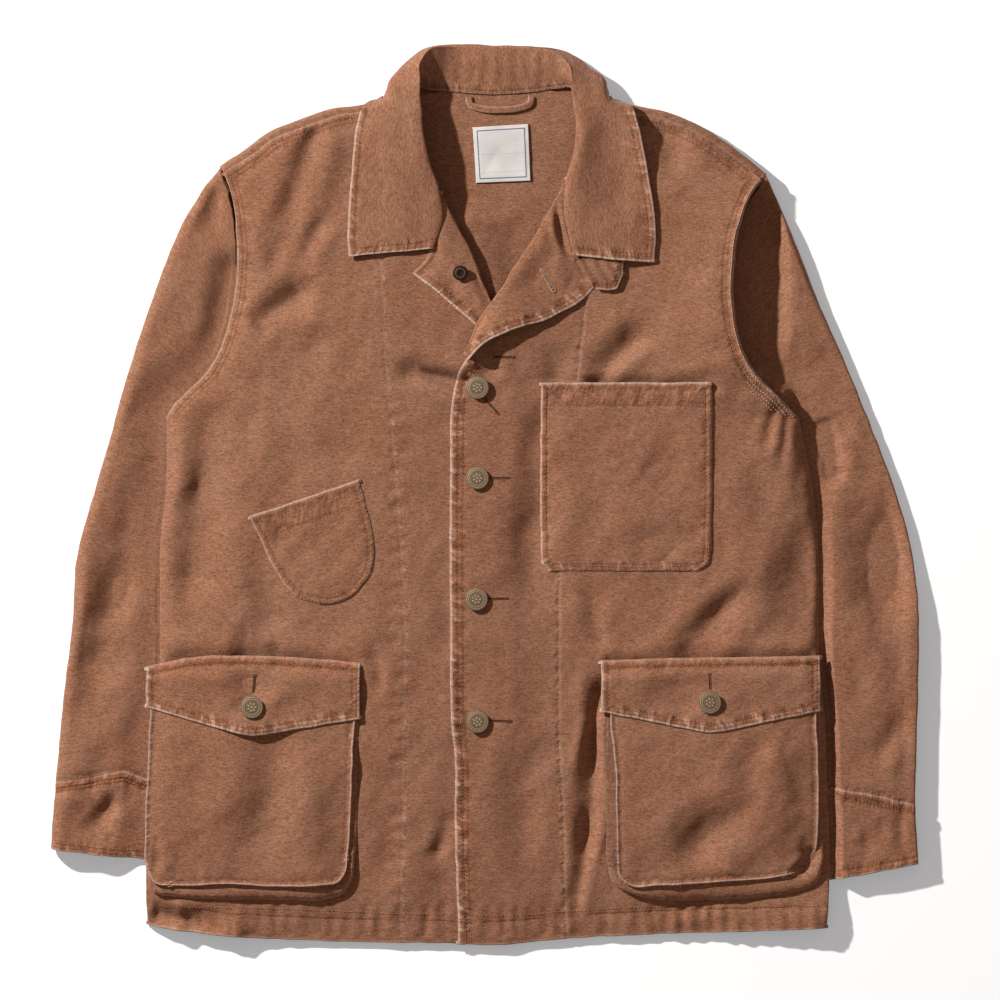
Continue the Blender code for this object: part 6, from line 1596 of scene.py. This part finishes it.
def thread_material(name, colour, worn):
    m = Tree(name)
    where = m.new("ShaderNodeTexCoord").outputs["Object"]
    n = m.noise(where, 300.0, 2.0, 0.6, 1.0)
    fibre = m.noise(where, 2600.0, 2.0, 0.6, 2.0)
    c = m.mix(m.step(n, 0.3, 0.7), (*colour, 1), (*worn, 1))
    c = m.scaled(c, m.step(fibre, 0.3, 0.7, 0.85, 1.15, False))
    return m.finish(c, m.bump(m.math("MULTIPLY", fibre, 0.00008)), 0.8, 0.0, 0.1, 0.2)


THREAD = thread_material("thread_brown", (0.235, 0.094, 0.046), (0.33, 0.150, 0.085))
THREAD_DARK = thread_material("thread_dark", (0.125, 0.048, 0.025), (0.23, 0.095, 0.052))
WORN_RIDGE = thread_material("worn_ridge", (0.40, 0.25, 0.18), (0.56, 0.41, 0.33))
THREAD_PALE = thread_material("thread_pale", (0.36, 0.22, 0.15), (0.48, 0.33, 0.25))


def capsules(name, starts, ends, radius, material, node="canvas", sides=6):
    """Stitches: short rounded threads between points."""
    way = ends - starts
    long = np.linalg.norm(way, axis=1, keepdims=True)
    way = way / np.maximum(long, 1e-9)
    side = np.cross(way, [0, 0, 1.0])
    side /= np.maximum(np.linalg.norm(side, axis=1, keepdims=True), 1e-9)
    up = np.cross(side, way)
    rings = []
    for at, r in ((0, 0.35), (0.12, 0.9), (0.5, 1.06), (0.88, 0.9), (1, 0.35)):
        bow = 0.30 * math.sin(math.pi * at) * radius
        for k in range(sides):
            a = 2 * math.pi * k / sides
            rings.append(starts + way * long * at + radius * r * (side * math.cos(a) + up * math.sin(a)) + up * bow)
    verts = np.stack(rings, 1)
    quads = []
    for ring in range(4):
        for k in range(sides):
            quads.append((ring * sides + k, ring * sides + (k + 1) % sides, (ring + 1) * sides + (k + 1) % sides, (ring + 1) * sides + k))
    quads = (np.array(quads)[None] + (np.arange(len(starts)) * 5 * sides)[:, None, None]).reshape(-1, 4)
    thing = mesh_from(name, verts.reshape(-1, 3) * MM, quads)
    thing.data.materials.append(material)
    ride(thing, node)
    return thing


ROWS_OF_STITCHES = {}


def stitch(group, path, pitch=3.3, long=2.35, skip=(), warp=True, over=0.03, tree=None):
    """A row of stitches along a line of the plan, on whatever cloth is on top there."""
    if warp:
        path = warped(path)
    at = even(path, 0.6)
    step = np.concatenate([[0], np.cumsum(np.linalg.norm(np.diff(at, axis=0), axis=1))])
    n = max(1, int(step[-1] / pitch))
    first = (np.arange(n) + 0.15) * step[-1] / n
    a, b = (np.stack([np.interp(s, step, at[:, k]) for k in (0, 1)], 1) for s in (first, first + long))
    za, na = dropped(a, tree)
    zb, nb = dropped(b, tree)
    good = ~(np.isnan(za) | np.isnan(zb)) & (abs(za - zb) < 1.3)
    for x0, y0, x1, y1 in skip:
        good &= ~((a[:, 0] > x0) & (a[:, 0] < x1) & (a[:, 1] > y0) & (a[:, 1] < y1))
    p = np.concatenate([a, za[:, None]], 1) + na * over
    q = np.concatenate([b, zb[:, None]], 1) + nb * over
    ROWS_OF_STITCHES.setdefault(group, []).append((p[good], q[good]))


# Rows that follow an edge at the distance of their groove.
UNDER_COLLAR = ((-109.0, 300.0, 130.0, 380.0),)
over_edge = sampled(edge_over)
over_edge = over_edge[over_edge[:, 1] < 116]
stitch("front", beside(over_edge, 5.8))
stitch("front", beside(over_edge, 10.4))
stitch("hem", curve(P((158, 905), (287, 908), (401, 913), (452, 914))))
stitch("hem", curve(P((470, 914), (500, 915), (564, 911), (628, 907), (755, 906), (825, 904))))
for side_way, arm in ((1, arm_line_r), (-1, arm_line_l)):
    stitch("armholes", beside(arm, side_way * 5.6))
    stitch("armholes", beside(arm, side_way * 9.2))
for way, shoulder_line in ((1, shoulder_line_r), (-1, shoulder_line_l)):
    stitch("shoulders", beside(shoulder_line, way * 5.0), skip=UNDER_COLLAR)
    stitch("shoulders", beside(shoulder_line, way * 9.0), skip=UNDER_COLLAR)


def edge_rows(group, name, keep, by):
    """Rows inside a shell's outline."""
    for path in keep:
        stitch(group, beside(path, by))


leaf_l = curve(P((361, 117), (355, 151), (352, 195), (350, 225), (349, 256)))
stitch("collar", beside(leaf_l, -5.3)[3:-2])
stitch("collar", curve(P((355, 250), (383, 247.5), (416, 244.5), (437, 240))))
leaf_r = curve(P((632, 117), (639, 143), (646, 177), (651, 214), (657, 262)))
stitch("collar", beside(leaf_r, 5.3)[3:-2])
stitch("collar", curve(P((577, 252), (600, 255.5), (633, 258), (650, 258))))
stitch("collar", curve(P((426, 88), (455, 91), (496, 93), (531, 91), (566, 87))))
stitch("lapels", beside(sampled(spline(LAPEL_RIGHT_EDGE), 1.5), 5.3)[2:-2])
stitch("lapels", beside(sampled(spline(LAPEL_LEFT_EDGE), 1.5), -5.3)[2:-2])
for rows, low in ((CUFF_RIGHT, -1), (CUFF_LEFT, 1)):
    t = np.linspace(0, 0.60 if low < 0 else 0.50, 50)
    seam = np.stack([np.interp(t, rows["across"], rows[k]) for k in ("seam_x", "seam_y")], -1)
    end = np.stack([np.interp(t, rows["across"], rows[k]) for k in ("end_x", "end_y")], -1)
    stitch("cuffs", seam + [0, -5.0], warp=True)
    stitch("cuffs", seam + [0, -8.4], warp=True)
    stitch("cuffs", end + [0, 6.1], warp=True)
for name in ("right", "left"):
    low_line, end_lines, top_line, rim_line = FLAP_LINES[name]
    stitch("flaps", (beside(low_line, -5.3))[2:-2])
    stitch("flaps", (top_line + [0, -6.6])[1:-1])
    stitch("flaps", (end_lines[0] + [5.3, 0])[2:-2])
    stitch("flaps", (end_lines[1] + [-5.3, 0])[2:-2])
stitch("chest_pocket", even(np.array([[55, 76.4], [193, 76.4]]), 3))
stitch("chest_pocket", curve(P((546, 387), (545.5, 450), (546, 520), (547, 563))))
stitch("chest_pocket", curve(P((703, 387), (704.5, 450), (704.5, 520), (703, 559), (690, 564), (660, 566), (600, 566), (549, 564))))
c, s = math.cos(WATCH_TILT), math.sin(WATCH_TILT)


def on_watch(a, d):
    a, d = np.asarray(a, float), np.asarray(d, float)
    return np.stack([WATCH_ORIGIN[0] + a * c + d * s, WATCH_ORIGIN[1] + a * s - d * c], -1)


stitch("watch_pocket", even(on_watch([-45, 45], [20.5, 20.5]), 2))
watch_d = np.array([3, 20, 45, 66, 81, 89])
left_d, right_d = (np.interp(watch_d, WATCH["down"], WATCH[k]) for k in ("left", "right"))
u_path = np.concatenate([np.stack([left_d + 4.6, watch_d], 1), [[-8, 89.5], [10, 89.5]], np.stack([right_d - 4.6, watch_d], 1)[::-1][1:]])
u_path = spline({"x": u_path[:, 0], "y": u_path[:, 1]})(np.linspace(0, 1, 200))
stitch("watch_pocket", even(on_watch(u_path[:, 0], u_path[:, 1]), 1.5))
for way, arm in ((1, arm_line_r), (-1, arm_line_l)):
    stitch("worn_ridges", beside(arm, way * (2.0 if way > 0 else 2.2))[1:-1], 2.0, 2.1)
# The gathered seam at the wearer's left underarm is overstitched with thick pale rows.
for by, top, low in ((1.0, 108, 62), (3.4, 113, 64), (7.4, 104, 66), (10.6, 98, 68), (13.6, 92, 71)):
    row = beside(arm_line_l, -by)
    row = row[(row[:, 1] < top) & (row[:, 1] > low)]
    if len(row) > 2:
        stitch("underarm", row, 2.7, 2.2)
for group, found in ROWS_OF_STITCHES.items():
    p, q = np.concatenate([f[0] for f in found]), np.concatenate([f[1] for f in found])
    pale_rows = group in ("worn_ridges", "underarm")
    capsules(f"stitches_{group}", p, q, 0.38 if pale_rows else 0.29, WORN_RIDGE if pale_rows else THREAD)


def buttonhole(name, a, b, pale=0.0, keyhole=False, wide=0.8):
    """A slit edged with close stitches, with a bar at one end."""
    a, b = P(a)[0], P(b)[0]
    way = (b - a) / np.linalg.norm(b - a)
    side = np.array([-way[1], way[0]])
    long = np.linalg.norm(b - a)
    n = int(long / 0.62)
    starts, ends = [], []
    for k in range(n + 1):
        at = a + way * long * k / n
        for hand in (-1, 1):
            inner = 0.25 + (0.9 * math.exp(-(((k / n - 0.95) / 0.08) ** 2)) if keyhole else 0)
            starts.append(at + side * hand * inner)
            ends.append(at + side * hand * (inner + wide))
    for k in range(4):
        at = a - way * (0.2 + 0.5 * k) * 1.0
        starts.append(at - side * 1.9)
        ends.append(at + side * 1.9)
    if keyhole:
        for k in range(12):
            t = 2 * math.pi * k / 12
            d = way * math.cos(t) + side * math.sin(t)
            starts.append(b + way * 0.6 + d * 1.0)
            ends.append(b + way * 0.6 + d * 2.6)
    starts, ends = np.array(starts), np.array(ends)
    za, na = dropped(starts)
    zb, nb = dropped(ends)
    za, zb = np.where(np.isnan(za), zb, za), np.where(np.isnan(zb), za, zb)
    p = np.concatenate([starts, (za + 0.30)[:, None]], 1)
    q = np.concatenate([ends, (zb + 0.02)[:, None]], 1)
    capsules(name, p, q, 0.34, THREAD_PALE if pale else THREAD_DARK, sides=6)
    # The slit, a near-black sliver that sags a little between its edges: painted shade for the depth of the slit.
    t = np.linspace(0, 1, 14)
    mid = a + (b - a) * t[:, None]
    half = 0.55 * np.sin(np.pi * np.clip(t, 0.02, 0.98)) ** 0.5 * (1 + (1.6 * np.exp(-(((t - 0.96) / 0.07) ** 2)) if keyhole else 0))
    zm, _ = dropped(mid)
    strip = np.stack([np.concatenate([mid + side * half[:, None] * w, (zm + 0.16 - 0.05 * (1 - abs(w)))[:, None]], 1) for w in (-1, -0.5, 0, 0.5, 1)])
    thing = mesh_from(name + "_slit", strip.reshape(-1, 3) * MM, grid_quads(5, 14))
    thing.data.materials.append(DARK)
    ride(thing, "canvas")


# Painted shade: a near-black colour for the depth of a buttonhole's slit.
def dark_material():
    m = Tree("painted_slit_shade")
    where = m.new("ShaderNodeTexCoord").outputs["Object"]
    n = m.noise(where, 1500.0, 2.0)
    return m.finish(m.mix(m.step(n, 0.3, 0.7), (0.020, 0.009, 0.005, 1), (0.045, 0.020, 0.012, 1)), m.bump(m.math("MULTIPLY", n, 0.0001)), 0.95)


DARK = dark_material()
buttonhole("buttonhole_1", (486, 401), (499, 415))
buttonhole("buttonhole_2", (489, 478), (509, 478))
buttonhole("buttonhole_3", (488, 598), (508, 598))
buttonhole("buttonhole_4", (490, 719), (512, 720))
buttonhole("buttonhole_top", (512, 358), (493, 358))
buttonhole("flap_buttonhole_right", (256, 675), (254.5, 691))
buttonhole("flap_buttonhole_left", (708, 674), (708.5, 688))
buttonhole("lapel_buttonhole", (541.6, 272.7), (553, 291), 1.0, True, 1.2)


def brass_material():
    m = Tree("antique_brass")
    where = m.new("ShaderNodeTexCoord").outputs["Object"]
    high = m.attribute("high")
    n = m.noise(where, 700.0, 3.0, 0.6, 1.0)
    spots = m.noise(where, 2500.0, 2.0, 0.6, 2.0)
    polish = m.math("ADD", m.step(high, 0.25, 0.75), m.math("MULTIPLY_ADD", n, 0.5, -0.25), clamp=True)
    colour = m.mix(polish, (0.19, 0.13, 0.08, 1), (0.68, 0.54, 0.37, 1))
    colour = m.mix(m.step(spots, 0.52, 0.66, 0.0, 0.75), colour, (0.075, 0.05, 0.032, 1))
    rough = m.math("MULTIPLY_ADD", n, 0.18, m.step(polish, 0.0, 1.0, 0.52, 0.30))
    height = m.math("MULTIPLY_ADD", spots, 0.00006, m.math("MULTIPLY", n, 0.00008))
    return m.finish(colour, m.bump(height), rough, 0.55, 0.0, 0.5)


BRASS_LOOK = brass_material()


def button(node, big=True):
    """A pressed cap with a turned-under rim, a beaded ring and a plain rosette."""
    lo, hi = (np.array(c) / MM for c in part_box(node))
    centre, radius = (lo + hi) / 2, (hi[0] - lo[0]) / 2
    tall = hi[2] - lo[2]
    n_r, n_a = 46, 120
    ang = np.linspace(0, 2 * math.pi, n_a + 1)
    r = np.linspace(0, 1, n_r) ** 0.85
    z = 0.93 - 0.16 * r**2 - 0.06 * smooth((r - 0.80) / 0.10)
    z = np.broadcast_to(z, (n_a + 1, n_r)).copy()
    R, A = np.broadcast_to(r, z.shape), np.broadcast_to(ang[:, None], z.shape)
    high = np.zeros_like(z)
    if big:
        bead = np.exp(-(((R - 0.70) / 0.060) ** 2)) * (0.35 + 0.65 * np.cos(A * 14) ** 2)
        ring = np.exp(-(((R - 0.88) / 0.035) ** 2))
        groove = np.exp(-(((R - 0.79) / 0.03) ** 2)) + np.exp(-(((R - 0.57) / 0.035) ** 2))
        petals = np.exp(-(((R - 0.32) / 0.13) ** 2)) * (0.5 + 0.5 * np.cos(A * 7)) ** 1.2
        knob = np.exp(-((R / 0.10) ** 2))
        high = 0.9 * bead + 0.9 * ring + 0.95 * petals + knob - 0.35 * groove
        z += (0.065 * bead + 0.05 * ring + 0.075 * petals + 0.08 * knob - 0.06 * groove) * 1.0
    else:
        ring = np.exp(-(((R - 0.62) / 0.10) ** 2))
        dish = np.exp(-((R / 0.30) ** 2))
        high = 0.8 * ring - 0.2 * dish + 0.2
        z += 0.10 * ring - 0.28 * dish
    top = np.stack([R * np.cos(A), R * np.sin(A), z], -1)
    rim = []
    for rr, zz in ((1.0, 0.66), (1.0, 0.52), (0.985, 0.42), (0.94, 0.34), (0.85, 0.26), (0.55, 0.20), (0.40, 0.10), (0.38, -0.22)):
        rim.append(np.stack([rr * np.cos(ang), rr * np.sin(ang), 0 * ang + zz], -1))
    top[:, :, :2] *= 0.97
    net = np.concatenate([top, np.stack(rim, 1)], 1)
    high = np.concatenate([high, np.full((n_a + 1, len(rim)), 0.55)], 1)
    net = net * [radius, radius, tall * (0.36 if big else 0.7)] + [centre[0], centre[1], lo[2] + 0.2]
    net[..., 2] = np.minimum(net[..., 2], hi[2] + 0.3)
    thing = mesh_from(f"{node}_metal", net.reshape(-1, 3) * MM, grid_quads(*net.shape[:2]))
    thing.data.attributes.new("high", "FLOAT", "POINT").data.foreach_set("value", high.astype(np.float32).ravel())
    thing.data.materials.append(BRASS_LOOK if big else RIVET_LOOK)
    ride(thing, "antique_brass", node)


def rivet_material():
    m = Tree("rivet_back")
    where = m.new("ShaderNodeTexCoord").outputs["Object"]
    high = m.attribute("high")
    n = m.noise(where, 900.0, 3.0, 0.6, 4.0)
    colour = m.mix(m.math("ADD", m.step(high, 0.2, 1.0), m.math("MULTIPLY_ADD", n, 0.4, -0.2), clamp=True), (0.022, 0.013, 0.009, 1), (0.14, 0.085, 0.055, 1))
    return m.finish(colour, m.bump(m.math("MULTIPLY", n, 0.0001)), m.step(n, 0.3, 0.7, 0.42, 0.6), 0.7, 0.0, 0.5)


RIVET_LOOK = rivet_material()
for node in ("button_1", "button_2", "button_3", "button_4", "flap_button_right", "flap_button_left"):
    button(node)
button("lapel_rivet", False)

# ---------------------------------------------------------------- floor, light, camera

floor_mesh = bpy.data.meshes.new("floor")
floor_mesh.from_pydata([(-6, -6, -0.0006), (6, -6, -0.0006), (6, 6, -0.0006), (-6, 6, -0.0006)], [], [(0, 1, 2, 3)])
floor = bpy.data.objects.new("floor", floor_mesh)
bpy.context.scene.collection.objects.link(floor)
m = Tree("pale_floor")
where = m.new("ShaderNodeTexCoord").outputs["Object"]
soft = m.noise(where, 3.0, 2.0)
m.finish(m.mix(soft, (0.90, 0.90, 0.905, 1), (0.93, 0.93, 0.93, 1)), None, 0.9, 0.0, 0.0, 0.1)
# Painted light: the floor glows a little, bluish, which lifts the shadows on it and keeps them grey.
m.shader.inputs["Emission Color"].default_value = (0.76, 0.89, 1.0, 1)
m.shader.inputs["Emission Strength"].default_value = 0.26
floor_mesh.materials.append(m.material)

lamp = bpy.data.lights.new("key", "POINT")
lamp.energy = LAMP = 62.0
lamp.shadow_soft_size = 0.035
lamp.color = (1.0, 0.985, 0.96)
lamp.use_nodes = True
tree = lamp.node_tree
emission = tree.nodes["Emission"]
falloff = tree.nodes.new("ShaderNodeLightFalloff")
falloff.inputs["Strength"].default_value = 1.0
tree.links.new(falloff.outputs["Constant"], emission.inputs["Strength"])
key = bpy.data.objects.new("key", lamp)
key.location = (-1.218, 0.918, 0.90)
bpy.context.scene.collection.objects.link(key)

world = bpy.data.worlds.new("studio")
world.use_nodes = True
world.node_tree.nodes["Background"].inputs["Color"].default_value = (1.0, 0.79, 0.66, 1)
world.node_tree.nodes["Background"].inputs["Strength"].default_value = 0.245
bpy.context.scene.world = world

camera = bpy.data.cameras.new("camera")
camera.lens, camera.sensor_width, camera.sensor_fit = 122.7, 36.0, "HORIZONTAL"
camera.clip_end = 50
view = bpy.data.objects.new("camera", camera)
view.location = (0.0136, -0.0062, 3.0)
bpy.context.scene.collection.objects.link(view)
bpy.context.scene.camera = view
bpy.context.scene.view_settings.view_transform = "Standard"
bpy.context.scene.view_settings.look = "None"
bpy.context.scene.view_settings.exposure = 0.0

print("triangles", sum(len(o.data.polygons) * 2 for o in MADE), "largest", max((len(o.data.polygons) * 2, o.name) for o in MADE))
